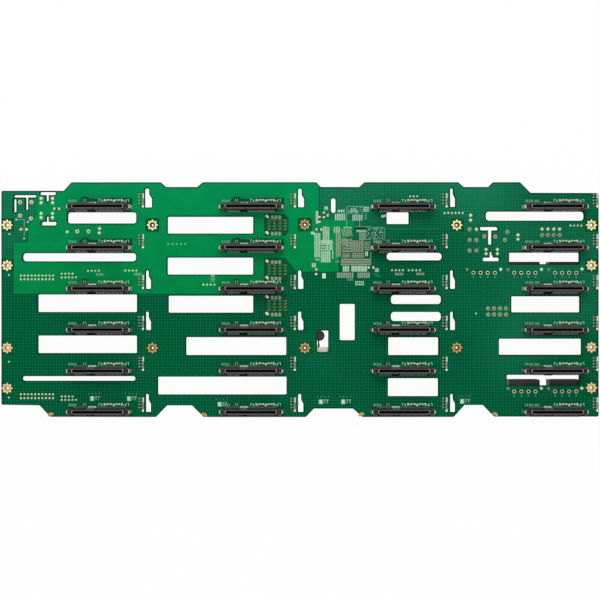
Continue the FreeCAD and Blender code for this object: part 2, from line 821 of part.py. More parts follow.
def data_connector_pattern():
    """A folded metal cage whose mouth faces the board's left end."""
    body = new_body("data_connector_pattern")
    half = size("cage_length") / 2
    side = size("cage_width") / 2
    height = size("cage_height")
    wall = size("cage_wall")
    block = outline_sketch(body, "cage_outline", [rectangle(-half, half, -side, side)])
    pad(body, block, "cage", height, reverse=True)
    opening = [rectangle(wall - side, side - wall, wall - height, -wall)]
    mouth = outline_sketch(body, "cage_mouth_outline", opening, "YZ_Plane", -half)
    pocket(body, mouth, "cage_mouth", size("cage_depth"), reverse=True)
    return body


def box_header_pattern():
    """A twenty-pin box header, open downwards."""
    body = new_body("box_header_pattern")
    half = size("box_header_length") / 2
    side = size("box_header_width") / 2
    height = size("box_header_height")
    wall = size("box_header_wall")
    block = outline_sketch(body, "box_header_outline", [rectangle(-half, half, -side, side)])
    pad(body, block, "box_header_block", height, reverse=True)
    opening = [rectangle(wall - half, half - wall, wall - side, side - wall)]
    mouth = outline_sketch(body, "box_header_mouth_outline", opening, lift=-height)
    pocket(body, mouth, "box_header_mouth", size("box_header_depth"), reverse=True)
    return body


def capacitor_bases():
    """The square plates with two cut corners that the cans are seated on."""
    body = new_body("capacitor_bases")
    body.AllowCompound = True
    side = size("capacitor_base_side") / 2
    cut = size("capacitor_base_cut")
    outlines = []
    for name in CAPACITORS:
        x = size(f"{name}_x")
        y = size(f"{name}_y")
        outlines.append([
            (x - side, y - side), (x + side, y - side), (x + side, y + side - cut),
            (x + side - cut, y + side), (x - side + cut, y + side), (x - side, y + side - cut),
        ])
    sketch = outline_sketch(body, "capacitor_base_outlines", outlines)
    pad(body, sketch, "capacitor_base_plates", size("capacitor_base_height"), reverse=True)
    place(body, ZERO, ZERO, REAR_FACE)
    keep(body, "capacitor_bases")


def capacitors():
    """The cans at the board's corners, which the board rests on."""
    for name in CAPACITORS:
        body = new_body(name)
        circle = circle_sketch(body, f"{name}_circle", [(ZERO, ZERO, size("capacitor_radius"))])
        pad(body, circle, f"{name}_can", REAR_FACE - size("capacitor_base_height"))
        place(body, size(f"{name}_x"), size(f"{name}_y"), ZERO)
        keep(body, name)


def chokes():
    for name in CHOKES:
        body = new_body(name)
        half = size(f"{name}_length") / 2
        side = size(f"{name}_width") / 2
        outline = [cut_rectangle(-half, half, -side, side, size("choke_corner_cut"))]
        sketch = outline_sketch(body, f"{name}_outline", outline)
        pad(body, sketch, f"{name}_block", size("choke_height"), reverse=True)
        place(body, size(f"{name}_x"), size(f"{name}_y"), REAR_FACE)
        keep(body, name)


def line_fuses():
    height = cell("fuse_height")
    fuses = []
    for name in FUSES:
        x, y, length, width = (cell(f"{name}_{field}") for field in ("x", "y", "length", "width"))
        fuses.append(box_at(x, y, -height, length, width, height))
    group("line_fuses", fuses, ZERO, ZERO, REAR_FACE)


def pin_strips():
    """Single-row headers: a plastic strip each."""
    strips = []
    height = cell("strip_height")
    width = cell("strip_width")
    for name, (*_, count) in PIN_STRIPS.items():
        length = count * cell("strip_pitch")
        strips.append(box_at(cell(f"{name}_x"), cell(f"{name}_y"), -height, length, width, height))
    group("pin_strips", strips, ZERO, ZERO, REAR_FACE)


def new_box(name, x, y, z, length, width, height):
    """A box node from its middle in X and Y and its lowest face, all tied to the sheet."""
    box = doc.addObject("Part::Box", name)
    for side, value in (("Length", length), ("Width", width), ("Height", height)):
        box.setExpression(side, value.text)
    place(box, x - length / 2, y - width / 2, z)
    keep(box, name)


def nine_pin_headers():
    """Two plastic strips with two rows of five pins each, of which the last is left out."""
    pitch = cell("strip_pitch")
    pin = cell("pin_side")
    reach = cell("pin_reach")
    low = -cell("strip_height") - reach
    height = size("strip_height")
    width = size("strip_pitch") * 2
    length = size("strip_pitch") * NINE_PIN_COLUMNS
    pins = []
    for name in NINE_PIN_HEADERS:
        new_box(name, size(f"{name}_x"), size(f"{name}_y"), REAR_FACE - height, length, width, height)
        columns = spread(NINE_PIN_COLUMNS, pitch, cell(f"{name}_x"))
        rows = spread(2, pitch, cell(f"{name}_y"))
        places_of_pins = [(x, y) for x in columns for y in rows]
        pins += [box_at(x, y, low, pin, pin, reach) for x, y in places_of_pins[:-1]]
    group("header_pins", pins, ZERO, ZERO, REAR_FACE)


def controller_chip():
    side = size("chip_side")
    height = size("chip_thickness")
    x = size("chip_place_x")
    y = size("chip_place_y")
    new_box("controller_chip", x, y, REAR_FACE - height, side, side, height)


def heat_sink():
    """A block with straight gaps cut between its fins."""
    body = new_body("heat_sink")
    half = size("sink_side") / 2
    over = size("overshoot")
    height = size("sink_height")
    fin = size("fin_thickness")
    pitch = (size("sink_side") - fin) / (FINS - 1)
    block = outline_sketch(body, "sink_outline", [rectangle(-half, half, -half, half)])
    pad(body, block, "sink_block", height, reverse=True)
    gap = [rectangle(fin - half, pitch - half, -half - over, half + over)]
    gap_outline = outline_sketch(body, "sink_gap_outline", gap, lift=-height)
    cut = pocket(body, gap_outline, "sink_gap", height - size("sink_base"), reverse=True)
    row_of_copies(body, cut, "sink_gaps", "X_Axis", pitch, FINS - 1)
    place(body, size("chip_place_x"), size("chip_place_y"), REAR_FACE - size("chip_thickness"))
    keep(body, "heat_sink")


def fan_header():
    """A pale header whose upper side shows through the middle window."""
    body = new_body("fan_header")
    half = size("fan_header_length") / 2
    side = size("fan_header_width") / 2
    height = size("fan_header_height")
    wall = size("fan_header_wall")
    block = outline_sketch(body, "fan_header_outline", [rectangle(-half, half, -side, side)])
    pad(body, block, "fan_header_block", height, reverse=True)
    opening = [rectangle(wall - half, half - wall, wall - side, side - wall)]
    mouth = outline_sketch(body, "fan_header_mouth_outline", opening, lift=-height)
    pocket(body, mouth, "fan_header_mouth", size("fan_header_depth"), reverse=True)
    place(body, size("fan_header_place_x"), size("fan_header_place_y"), REAR_FACE)
    keep(body, "fan_header")


def round_capacitor():
    can = doc.addObject("Part::Cylinder", "round_capacitor")
    can.setExpression("Radius", size("round_capacitor_radius").text)
    can.setExpression("Height", size("round_capacitor_height").text)
    z = REAR_FACE - size("round_capacitor_height")
    place(can, size("round_capacitor_place_x"), size("round_capacitor_place_y"), z)
    keep(can, "round_capacitor")


def check_document():
    """Stop if a feature failed, or if a cut took nothing away."""
    for item in doc.Objects:
        if "Invalid" in item.State or "Error" in item.State:
            raise RuntimeError(f"{item.Label} failed: {item.State}")
        if item.TypeId == "PartDesign::Pocket" and item.Shape.Volume > item.BaseFeature.Shape.Volume - CLOSE:
            raise RuntimeError(f"{item.Label} cuts nothing")
    for node in nodes:
        if node.Shape.isNull() or not node.Shape.isValid():
            raise RuntimeError(f"{node.Label} has no valid shape")


circuit_board()
drive_connectors(housing_pattern())
contact_tails()
solder_tabs()
status_lamps()
repeated(power_header_pattern(), POWER_HEADERS)
repeated(cable_header_pattern(), CABLE_HEADERS)
repeated(data_connector_pattern(), DATA_CONNECTORS)
repeated(box_header_pattern(), BOX_HEADERS)
capacitor_bases()
capacitors()
nine_pin_headers()
pin_strips()
chokes()
line_fuses()
controller_chip()
heat_sink()
fan_header()
round_capacitor()

doc.recompute()
check_document()

os.makedirs("parts", exist_ok=True)
for node in nodes:
    node.Shape.exportStep(f"parts/{node.Label}.step")
print(f"{len(nodes)} nodes written")
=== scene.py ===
"""Looks of a drive backplane board that carries 24 drive connectors, seen from its drive side."""

import math

import bmesh
import bpy
import numpy as np
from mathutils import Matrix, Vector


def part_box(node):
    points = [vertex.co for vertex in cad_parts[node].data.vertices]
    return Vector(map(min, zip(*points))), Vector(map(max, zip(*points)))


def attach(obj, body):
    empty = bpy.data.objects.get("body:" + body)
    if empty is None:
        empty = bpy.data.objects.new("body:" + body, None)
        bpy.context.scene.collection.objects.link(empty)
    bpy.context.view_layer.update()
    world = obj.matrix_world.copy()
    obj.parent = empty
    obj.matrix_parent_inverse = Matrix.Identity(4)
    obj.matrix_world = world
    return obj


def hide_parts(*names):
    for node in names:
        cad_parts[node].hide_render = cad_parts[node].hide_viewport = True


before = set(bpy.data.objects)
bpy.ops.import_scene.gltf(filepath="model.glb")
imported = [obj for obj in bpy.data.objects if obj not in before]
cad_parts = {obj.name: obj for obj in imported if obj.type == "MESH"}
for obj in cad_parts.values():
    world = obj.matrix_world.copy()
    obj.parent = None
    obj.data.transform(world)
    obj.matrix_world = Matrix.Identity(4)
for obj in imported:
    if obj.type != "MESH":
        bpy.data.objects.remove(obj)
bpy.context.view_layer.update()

# One picture column or row is this many metres of board, and this place is over its middle.
PIXEL = 0.0006955
MIDDLE = (300.0, 299.6)
PICTURE_SIDE = 600
MM = 0.001
CAMERA_HEIGHT = 0.8
SENSOR_WIDTH = 36.0
# Thickness of films on the board, width and depth of its rims without copper, all in metres, and
# the least turn of an edge that is drawn sharp.
FILM = 0.00002
RIM_WIDTH = 1.1 * PIXEL
RIM_DEPTH = 0.0001
SHARP_TURN = math.radians(34)

BOARD_LOW, BOARD_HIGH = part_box("circuit_board")
FACE = BOARD_HIGH.z
REAR = BOARD_LOW.z

BAY_COLUMNS = (99.5, 251.3, 403.0, 554.8)
BAY_ROWS = (206.9, 247.7, 288.5, 329.4, 370.2, 411.0)

# The board's outline, from its upper left corner round to its lower left corner.
OUTLINE = [
    (1.3, 190.8), (63.8, 190.8), (71.4, 182.3), (160.9, 182.3), (166.2, 187), (197.1, 187),
    (202.9, 182.2), (316.3, 182.2), (320.7, 187), (359.3, 187), (364.4, 182.2), (458.3, 182.2),
    (463.7, 187), (488.4, 187), (492.9, 182.2), (520, 182.2), (530.5, 192.8), (598.6, 193),
    (598.6, 416.6), (494.3, 416.6), (483, 405), (464.5, 405), (453.8, 416.9), (362.5, 417),
    (352.9, 408.6), (314, 408.6), (305.8, 417), (203.6, 417), (192, 405.4), (167.1, 405.4),
    (156, 417), (50.4, 416.8), (39.5, 405.3), (1.3, 404.8),
]
# Air windows: left, right, upper and lower side, corner radius.
WINDOWS = [
    (67.7, 136.2, 212.2, 223.4, 2.5), (22.7, 136, 253.1, 261.3, 3), (37.9, 136.9, 294.5, 312, 1),
    (37.9, 136.9, 335.6, 353.1, 1), (22.3, 135.3, 376.2, 380.9, 2.3), (167.6, 253.1, 216.7, 233.5, 1),
    (167.5, 253.1, 257.6, 274.5, 1), (168.5, 253.1, 295.8, 312.6, 1), (186.1, 286.2, 337.2, 355.1, 1),
    (157.9, 286.5, 376.7, 394.6, 1), (386.7, 408.7, 212.2, 224, 1), (386.7, 442, 252.7, 260.3, 3.6),
    (391, 441.1, 295.1, 304, 3), (391, 441.1, 312, 321, 3), (388.3, 438.4, 337.4, 355.1, 1),
    (388, 438.2, 378.3, 396.3, 1), (485.9, 584.1, 211.5, 220.6, 3), (509.2, 579.2, 252.7, 264.1, 1),
    (511.4, 579.8, 296.4, 312.3, 1), (499, 581.5, 338.8, 354.8, 1), (506.8, 579.3, 374.9, 385.4, 1),
    (339.8, 354.8, 304, 340.2, 1.2), (317.1, 328.2, 330.6, 352.1, 1), (331.1, 335.5, 198, 212.9, 2.1),
    (13.7, 16.3, 199, 212.3, 1.1),
]
# Keyhole slots: left side, top, bottom, width of the head and of the foot.
KEYHOLES = [
    (144.9, 188.4, 207.4, 4.2, 7.0), (298.2, 188.4, 207.2, 3.4, 5.8), (450.2, 188.2, 206.9, 2.9, 5.1),
]
KEYHOLES += [
    (left, top, bottom, 2.9, 5.1)
    for left in (145.8, 298.2, 450.2)
    for top, bottom in ((270.4, 288.8), (311.7, 330), (394, 412.2))
]
KEYHOLES.sort()
# T slots of the power feed: bar left, right, upper, lower, then stem left, right and far end.
TEES = [
    (13.8, 36.2, 195, 197.4, 25.7, 28, 210), (39.9, 55.8, 191.9, 195, 46.2, 48.6, 201.6),
    (41.4, 56.4, 221.8, 225.4, 46.4, 48.6, 216), (480.1, 497.7, 226.9, 230.3, 488.2, 491.7, 244.6),
    (482.8, 499.3, 257.6, 261.1, 489.8, 493, 251.8),
]
SCREWS = {
    "pale": [(7.1, 225), (7.1, 265.5), (591.5, 225), (591.5, 265.3)],
    "brown": [(152.4, 225), (456.9, 225)],
    "warm": [(7.1, 347.8), (7.1, 388.3), (591.5, 347.2), (591.5, 387.8)],
    "tan": [(304.9, 224.6), (152.4, 348), (304.9, 348), (456.9, 347.7)],
}
# Radius of each kind's plated wall at its foot in millimetres, and finishes of star, ring and wall;
# then the radius of the hole.
SCREW_LOOKS = {
    "pale": (1.0, "pale_gold", "tan_gold", "tan_gold"),
    "brown": (0.75, "pale_gold", "deep_gold", "hub_brown"),
    "warm": (1.0, "warm_gold", "copper_ring", "copper_ring"),
    "tan": (0.75, "tan_gold", "deep_gold", "hub_brown"),
}
SCREW_RADIUS = 1.75
# Open pin holes of the power headers: their radius in metres, then first column, last column, row,
# how many.
PIN_HOLE_RADIUS = 1.1 * PIXEL
POWER_PINS = [
    (473.4, 494.9, 272.8, 4), (514.2, 535.4, 272.8, 4), (555, 576.2, 272.8, 4), (514.2, 535.6, 391.5, 4),
    (555, 576.2, 391.5, 4),
]
# How far below a pin its printed mark stands, and the heads of the plastic pegs by their finish.
MARK_BELOW = 4.3
PEGS = {
    "dull_solder": [(467, 269.4), (507.9, 269.6), (548.7, 269.6), (508.2, 388.5), (548.5, 388.5)],
    "bright_mint": [(500.7, 269.4), (541.5, 269.4), (582, 269), (541.3, 388.2), (581.8, 388.2)],
}
# Rows of soldered pins: first column, last column, row, how many.
PIN_ROWS = [
    (20.9, 53.1, 275.6, 10), (20.9, 53.1, 279.3, 10), (20.9, 53.1, 394.3, 10), (20.9, 53.1, 398.2, 10),
    (61.7, 72.6, 273.7, 4), (61.7, 76, 277.5, 5), (61.7, 72.6, 396.5, 4), (61.7, 76, 400, 5),
    (88, 98.8, 270.9, 4), (125.4, 136.4, 270.6, 4), (203.4, 214.4, 284.7, 4),
    (444.6, 462.7, 213, 6), (570.6, 581.3, 225.5, 4), (410, 417.2, 196.5, 3), (392.1, 403, 270.3, 4),
    (408.7, 419.9, 270.3, 4),
]
# The row of green-tinned pins: first column, last column, row, how many.
GREEN_PINS = [(168.1, 185.3, 244, 5)]
# Heavy solder joints by their look: a dome, or a ring round a dark middle.
JOINTS = {
    "pale_ring": [
        (20.1, 202.1), (31.5, 202.1), (20.1, 215.7), (30.8, 218.6), (77.3, 231.4), (88.5, 231.4),
    ],
    "grey_ring": [
        (469.6, 229.3), (469.6, 240.1), (476.4, 240.1), (469.6, 250.5), (476.4, 250.5), (484.4, 236.4),
        (495.4, 236.6), (507.3, 231.9), (504.8, 240),
    ],
    "gold_ring": [(486.1, 249.5), (486.1, 253.8), (497.4, 249.5), (497.4, 253.8), (518, 239.3)],
    "dome": [
        (41.1, 198.5), (52.5, 198.5), (41.1, 202.8), (52.5, 202.8), (41.1, 213.5), (52.5, 213.5),
        (41.1, 217.7), (52.5, 217.7), (99.4, 228.6), (99.4, 233), (476.4, 229.3), (470.6, 215.3),
        (470.6, 220.1), (518, 234.9),
    ],
    "small_dome": [(20.9, 229.4), (26.4, 229.4), (67.4, 231.9)],
}
# Size of a small pin's dome and of each kind of heavy dome, and the finishes of a heavy dome's bands
# and ends; the brightest band and the cap at a heavy dome's top are a painted highlight.
SMALL_JOINT = 0.8
DOME_SIZES = {"dome": 0.92, "gold_ring": 0.85, "small_dome": 0.78}
DOME_FINISHES = ["gold_ring", "gold_ring", "pale_solder", "bright_mint", "gold_ring", "bright_mint"]
# Joints of the two eight-way headers: their four columns and two rows.
HEADER_COLUMNS = ((542.1, 547.9, 553.8, 559.6), (488.2, 494.1, 500.0, 506.0))
HEADER_ROWS = ((229.1, 235.1), (308.4, 314.5))
# Pitch of the copper mesh in metres and the share of it that a line takes.
MESH_PITCH = 1.5 * PIXEL
MESH_LINE = 0.38
# The upper layer's open copper field, as convex polygons that overlap, corners in turn.
LIGHT_FIELD = [
    [(36.2, 170), (319.1, 170), (319.1, 258.6), (36.2, 258.6)],
    [(27.6, 227), (36.2, 214.6), (38.2, 214.6), (38.2, 258.6), (27.6, 258.6)],
    [(13, 242), (264.4, 242), (264.4, 294.3), (13, 294.3)],
    [(262, 242), (341, 242), (341, 258.6), (262, 258.6)],
    [(282, 255), (339, 255), (339, 272), (296.5, 272)],
    [(317, 218.8), (354, 218.8), (354, 229.8), (341, 245), (317, 245)],
    [(371.8, 271.6), (381.3, 275), (381.3, 278), (375, 277.4)],
]


def ink(red, green, blue):
    """A printed 0-255 colour as linear light: c/12.92 when dark, else ((c + 0.055)/1.055)^2.4."""
    c = np.array([red, green, blue]) / 255
    return (*np.where(c <= 0.04045, c / 12.92, ((c + 0.055) / 1.055) ** 2.4), 1.0)


def fed(tree, node, inputs):
    """Sets or links the numbered inputs of a node."""
    for number, value in inputs.items():
        if isinstance(value, bpy.types.NodeSocket):
            tree.links.new(value, node.inputs[number])
        else:
            node.inputs[number].default_value = value
    return node


def reckon(tree, operation, *values, clamp=False):
    """One step of arithmetic between sockets or numbers."""
    node = tree.nodes.new("ShaderNodeMath")
    node.operation = operation
    node.use_clamp = clamp
    return fed(tree, node, dict(enumerate(values))).outputs[0]


def blend(tree, share, first, second):
    """The colour between two colours: first (1 - share) + second share."""
    node = tree.nodes.new("ShaderNodeMix")
    node.data_type = "RGBA"
    return fed(tree, node, {0: share, 6: first, 7: second}).outputs[2]


def place_on_piece(tree):
    """Place of the shaded point in the object's own frame, in metres."""
    return tree.nodes.new("ShaderNodeTexCoord").outputs["Object"]


def grain(tree, place, fineness, detail=2.0):
    """Noise with the given number of lumps a metre, from 0 to 1."""
    node = tree.nodes.new("ShaderNodeTexNoise")
    return fed(tree, node, {"Vector": place, "Scale": fineness, "Detail": detail}).outputs[0]


def new_finish(name):
    """A new material with its node tree, its surface shader and the shaded place on the piece."""
    material = bpy.data.materials.new(name)
    material.use_nodes = True
    tree = material.node_tree
    return material, tree, tree.nodes["Principled BSDF"], place_on_piece(tree)


def finish(name, colour, other, fineness, rough, shine, metal=0.0, bump=0.0):
    """A finish that wanders between two printed colours and two roughnesses with one noise."""
    material, tree, shader, place = new_finish(name)
    share = reckon(tree, "MULTIPLY_ADD", grain(tree, place, fineness), 3.0, -1.0, clamp=True)
    spread = rough[1] - rough[0]
    fed(tree, shader, {
        "Base Color": blend(tree, share, ink(*colour), ink(*other)),
        "Roughness": reckon(tree, "MULTIPLY_ADD", share, spread, rough[0]),
        "Metallic": metal,
        "Specular IOR Level": shine,
    })
    if bump:
        raise_grain(tree, shader, place, fineness * 2, bump)
    return material


def raise_grain(tree, shader, place, fineness, height):
    """A shallow relief of noise on the surface, height in metres."""
    node = tree.nodes.new("ShaderNodeBump")
    fed(tree, node, {"Height": grain(tree, place, fineness), "Distance": height, "Strength": 1.0})
    tree.links.new(node.outputs[0], shader.inputs["Normal"])


def at(points):
    """Picture places to board places: (column - middle) PIXEL and (middle - row) PIXEL."""
    points = np.asarray(points, float)
    across = points[..., 0] - MIDDLE[0]
    up = MIDDLE[1] - points[..., 1]
    return np.stack([across, up], -1) * PIXEL


def unit(arrows):
    """Each row of the array brought to length one."""
    return arrows / np.linalg.norm(arrows, axis=1, keepdims=True)


def inside_polygon(tree, place, corners):
    """Above zero inside a convex polygon: the least of n.(p - corner) over its sides."""
    flat = at(corners)
    along = np.roll(flat, -1, 0) - flat
    if np.cross(along[0], along[1]) < 0:
        flat = flat[::-1]
        along = np.roll(flat, -1, 0) - flat
    normals = np.stack([-along[:, 1], along[:, 0]], -1)
    depth = None
    for corner, normal in zip(flat, unit(normals)):
        dot = tree.nodes.new("ShaderNodeVectorMath")
        dot.operation = "DOT_PRODUCT"
        fed(tree, dot, {0: place, 1: (*normal, 0.0)})
        off = reckon(tree, "SUBTRACT", dot.outputs["Value"], float(corner @ normal))
        depth = off if depth is None else reckon(tree, "MINIMUM", depth, off)
    return depth


def mesh_squares(tree, place, pitch, gap):
    """One on the squares of a mesh and zero on its lines: both places modulo pitch above gap."""
    axes = tree.nodes.new("ShaderNodeSeparateXYZ")
    tree.links.new(place, axes.inputs[0])
    parts = []
    for number in (0, 1):
        turn = reckon(tree, "FRACT", reckon(tree, "DIVIDE", axes.outputs[number], pitch))
        parts.append(reckon(tree, "GREATER_THAN", turn, gap))
    return reckon(tree, "MULTIPLY", *parts), axes


def mask_finish():
    """Green solder mask: squares of copper mesh under it, and on the drive side a plain lighter
    field upper left."""
    material, tree, shader, place = new_finish("green_mask")
    field = None
    for corners in LIGHT_FIELD:
        depth = inside_polygon(tree, place, corners)
        field = depth if field is None else reckon(tree, "MAXIMUM", field, depth)
    squares, axes = mesh_squares(tree, place, MESH_PITCH, MESH_LINE)
    broad = grain(tree, place, 9.0, 1.0)
    patches = reckon(tree, "MULTIPLY_ADD", grain(tree, place, 46.0, 3.0), 9.0, -1.4, clamp=True)
    mesh = blend(tree, squares, ink(1, 26, 18), ink(3, 143, 91))
    mesh = blend(tree, patches, ink(1, 84, 54), mesh)
    # Painted sheen: the copper mesh is painted lighter towards the board's top.
    brighter = reckon(tree, "MULTIPLY_ADD", axes.outputs[1], 3.0, broad)
    sheen = reckon(tree, "MULTIPLY_ADD", brighter, 0.7, -0.355, clamp=True)
    mesh = blend(tree, sheen, mesh, ink(50, 170, 128))
    ripple = reckon(tree, "MULTIPLY_ADD", grain(tree, place, 120.0), 2.5, -0.9, clamp=True)
    smooth = blend(tree, ripple, ink(1, 128, 66), ink(2, 139, 74))
    # Painted sheen on the plain field as well: lighter towards the board's top.
    upper = reckon(tree, "MULTIPLY", axes.outputs[1], 4.4, clamp=True)
    smooth = blend(tree, upper, smooth, ink(1, 158, 100))
    front = reckon(tree, "GREATER_THAN", axes.outputs[2], (FACE + REAR) / 2)
    edge = reckon(tree, "MULTIPLY", field, 1.0 / (0.5 * PIXEL), clamp=True)
    rim = reckon(tree, "LESS_THAN", reckon(tree, "ABSOLUTE", field), 0.45 * PIXEL)
    colour = blend(tree, reckon(tree, "MULTIPLY", edge, front), mesh, smooth)
    rim_share = reckon(tree, "MULTIPLY", reckon(tree, "MULTIPLY", rim, front), 0.55)
    colour = blend(tree, rim_share, colour, ink(3, 70, 42))
    fed(tree, shader, {"Base Color": colour, "Roughness": 0.42, "Specular IOR Level": 0.02})
    return material


# Finishes of the drive side: two printed colours, lumps a metre, roughness from and to, shine, and
# where they aren't zero, metal and relief in metres.
COLOURS = {
    "bare_rim": ((2, 62, 36), (3, 76, 44), 700, (0.4, 0.6), 0.05),
    "laminate_edge": ((20, 52, 30), (44, 68, 40), 1500, (0.7, 0.9), 0.1),
    "shade_patch": ((2, 74, 42), (3, 92, 52), 900, (0.4, 0.6), 0.05),
    "mask_dark": ((1, 58, 34), (3, 72, 42), 900, (0.4, 0.6), 0.05),
    # a paler grey-green strip of mask just behind each housing
    "pale_back_strip": ((78, 112, 88), (62, 98, 74), 900, (0.4, 0.6), 0.05),
    # painted shadow of the housings on the mask in front of them, over their solder tails
    "tail_shade": ((1, 34, 20), (3, 48, 28), 900, (0.4, 0.6), 0.05),
    "trace_green": ((14, 124, 74), (10, 112, 66), 900, (0.4, 0.6), 0.05),
    "pale_gold": ((255, 250, 196), (246, 228, 150), 900, (0.25, 0.45), 0.4),
    "warm_gold": ((246, 230, 170), (220, 188, 118), 900, (0.3, 0.5), 0.4),
    "copper_ring": ((216, 158, 100), (186, 128, 74), 900, (0.3, 0.5), 0.4),
    "tan_gold": ((198, 168, 100), (170, 134, 78), 900, (0.3, 0.5), 0.4),
    "deep_gold": ((150, 108, 56), (116, 78, 36), 900, (0.3, 0.5), 0.4),
    "hub_brown": ((118, 80, 44), (84, 54, 28), 900, (0.4, 0.6), 0.3),
    "mint_print": ((176, 232, 196), (148, 208, 172), 1600, (0.7, 0.9), 0.1),
    "pale_mark": ((132, 198, 154), (82, 162, 114), 1800, (0.7, 0.9), 0.1),
    "pale_strokes": ((150, 172, 112), (112, 144, 84), 1900, (0.5, 0.7), 0.2),
    "mint_tin": ((176, 216, 184), (134, 182, 150), 1100, (0.35, 0.5), 0.4),
    "bright_mint": ((232, 248, 236), (170, 214, 184), 1500, (0.25, 0.4), 0.5),
    "grey_pad": ((150, 172, 152), (110, 146, 120), 1500, (0.35, 0.5), 0.3),
    "cage_solder": ((248, 238, 230), (206, 186, 178), 1500, (0.25, 0.4), 0.5),
    "pale_solder": ((222, 234, 190), (168, 200, 148), 1400, (0.25, 0.4), 0.5),
    "dull_solder": ((128, 150, 112), (92, 116, 84), 1400, (0.3, 0.5), 0.4),
    "pale_ring": ((226, 228, 176), (186, 200, 140), 1400, (0.25, 0.4), 0.4),
    "grey_ring": ((166, 178, 138), (132, 152, 110), 1400, (0.3, 0.45), 0.4),
    "gold_ring": ((216, 220, 150), (170, 186, 112), 1400, (0.3, 0.45), 0.4),
    "via_dark": ((44, 66, 40), (62, 84, 56), 1400, (0.5, 0.7), 0.1),
    "tan_strip": ((164, 170, 146), (130, 144, 120), 1300, (0.4, 0.6), 0.3),
    "olive_strip": ((112, 116, 78), (88, 100, 64), 1300, (0.4, 0.6), 0.3),
    # painted shade: the housing's black nylon darkened in its slot, on its front edge and key, and in the
    # grooves by its ears
    "slot_black": ((5, 5, 6), (11, 11, 12), 900, (0.5, 0.7), 0.1),
    "housing_black": ((28, 27, 29), (44, 42, 44), 1400, (0.45, 0.65), 0.25, 0.0, 0.00002),
    # painted highlight: the lighter lip round the slot and the shelf at the housing's back
    "worn_rim": ((64, 61, 64), (92, 88, 90), 1500, (0.4, 0.6), 0.3),
    "bright_rim": ((146, 140, 143), (106, 101, 104), 1500, (0.4, 0.6), 0.3),
    "ear_rim": ((94, 90, 90), (46, 44, 44), 1700, (0.4, 0.6), 0.3),
    # lit and shaded copies of the clasps' metal: the shaded one is for the lower half of the board
    "lit_clasp": ((216, 204, 204), (140, 124, 128), 1700, (0.25, 0.45), 0.5),
    "shaded_clasp": ((142, 142, 138), (88, 86, 84), 1700, (0.3, 0.5), 0.4),
    "recess_brown": ((140, 108, 104), (90, 68, 66), 1200, (0.5, 0.7), 0.2),
    "tail_metal": ((182, 174, 171), (126, 118, 115), 1900, (0.3, 0.5), 0.5),
    "finger_metal": ((104, 100, 101), (70, 67, 69), 1900, (0.3, 0.5), 0.4),
    # painted highlight on the top of each end clasp
    "clasp_highlight": ((250, 248, 244), (214, 208, 202), 1500, (0.2, 0.4), 0.6),
    "ceramic_pink": ((218, 228, 200), (182, 208, 168), 1500, (0.5, 0.7), 0.3),
    "ceramic_brown": ((92, 62, 38), (56, 42, 30), 1500, (0.5, 0.7), 0.3),
    "amber_bar": ((196, 116, 34), (150, 84, 26), 1500, (0.5, 0.7), 0.3),
    "resistor_dark": ((96, 84, 58), (50, 46, 34), 1600, (0.4, 0.6), 0.3),
    "lead_black": ((20, 14, 14), (34, 24, 24), 1500, (0.4, 0.6), 0.3),
    "lamp_resin": ((246, 250, 226), (236, 238, 200), 1500, (0.2, 0.35), 0.5),
}
FINISHES = {name: finish(name, *numbers) for name, numbers in COLOURS.items()}
FINISHES["green_mask"] = mask_finish()


def ring(loop, height):
    """A closed loop of board places raised to a height."""
    return np.column_stack([loop, np.full(len(loop), height)])


def skin(rings, round_trip=False):
    """Quads between neighbouring rings of equal count, ring j point i to ring j + 1 point i.
    The first and last ring are closed by flat ends unless the rings return to the first one."""
    rings = np.asarray(rings, float)
    count, around = rings.shape[:2]
    number = np.arange(count * around).reshape(count, around)
    lower = number if round_trip else number[:-1]
    upper = np.roll(number, -1, 0) if round_trip else number[1:]
    quads = np.stack([lower, np.roll(lower, -1, 1), np.roll(upper, -1, 1), upper], -1)
    corners, sizes = quads.ravel(), np.full(quads.shape[0] * around, 4)
    if not round_trip:
        corners = np.concatenate([corners, number[0, ::-1], number[-1]])
        sizes = np.concatenate([sizes, [around, around]])
    return rings.reshape(-1, 3), corners, sizes, around


def rectangle(left, right, low, high):
    """Four corners, counterclockwise."""
    return np.array([(left, low), (right, low), (right, high), (left, high)], float)


def softened(corners, radius, steps=4):
    """Each corner C becomes an arc from A to B, both r tan(turn/2) away from C. With u = 1 - s and
    w = cos(turn/2) its points are (u u A + 2 u s w C + s s B) / (u u + 2 u s w + s s)."""
    c = np.asarray(corners, float)
    before, after = np.roll(c, 1, 0) - c, np.roll(c, -1, 0) - c
    near, far = np.linalg.norm(before, axis=1), np.linalg.norm(after, axis=1)
    before, after = before / near[:, None], after / far[:, None]
    turn = np.pi - np.arccos(np.clip((before * after).sum(1), -1, 1))
    reach = np.minimum(radius * np.tan(turn / 2), 0.49 * np.minimum(near, far))[:, None]
    a, b = (c + before * reach)[:, None], (c + after * reach)[:, None]
    s = np.linspace(0, 1, steps + 1)[None, :, None]
    u, w = 1 - s, np.cos(turn / 2)[:, None, None]
    over = u * u * a + 2 * u * s * w * c[:, None] + s * s * b
    return (over / (u * u + 2 * u * s * w + s * s)).reshape(-1, 2)


def turned_left(loop):
    """The loop, counterclockwise: reversed when the shoelace sum of its corners is negative."""
    ahead = np.roll(loop, -1, 0)
    area = (loop[:, 0] * ahead[:, 1] - ahead[:, 0] * loop[:, 1]).sum()
    return loop if area > 0 else loop[::-1]


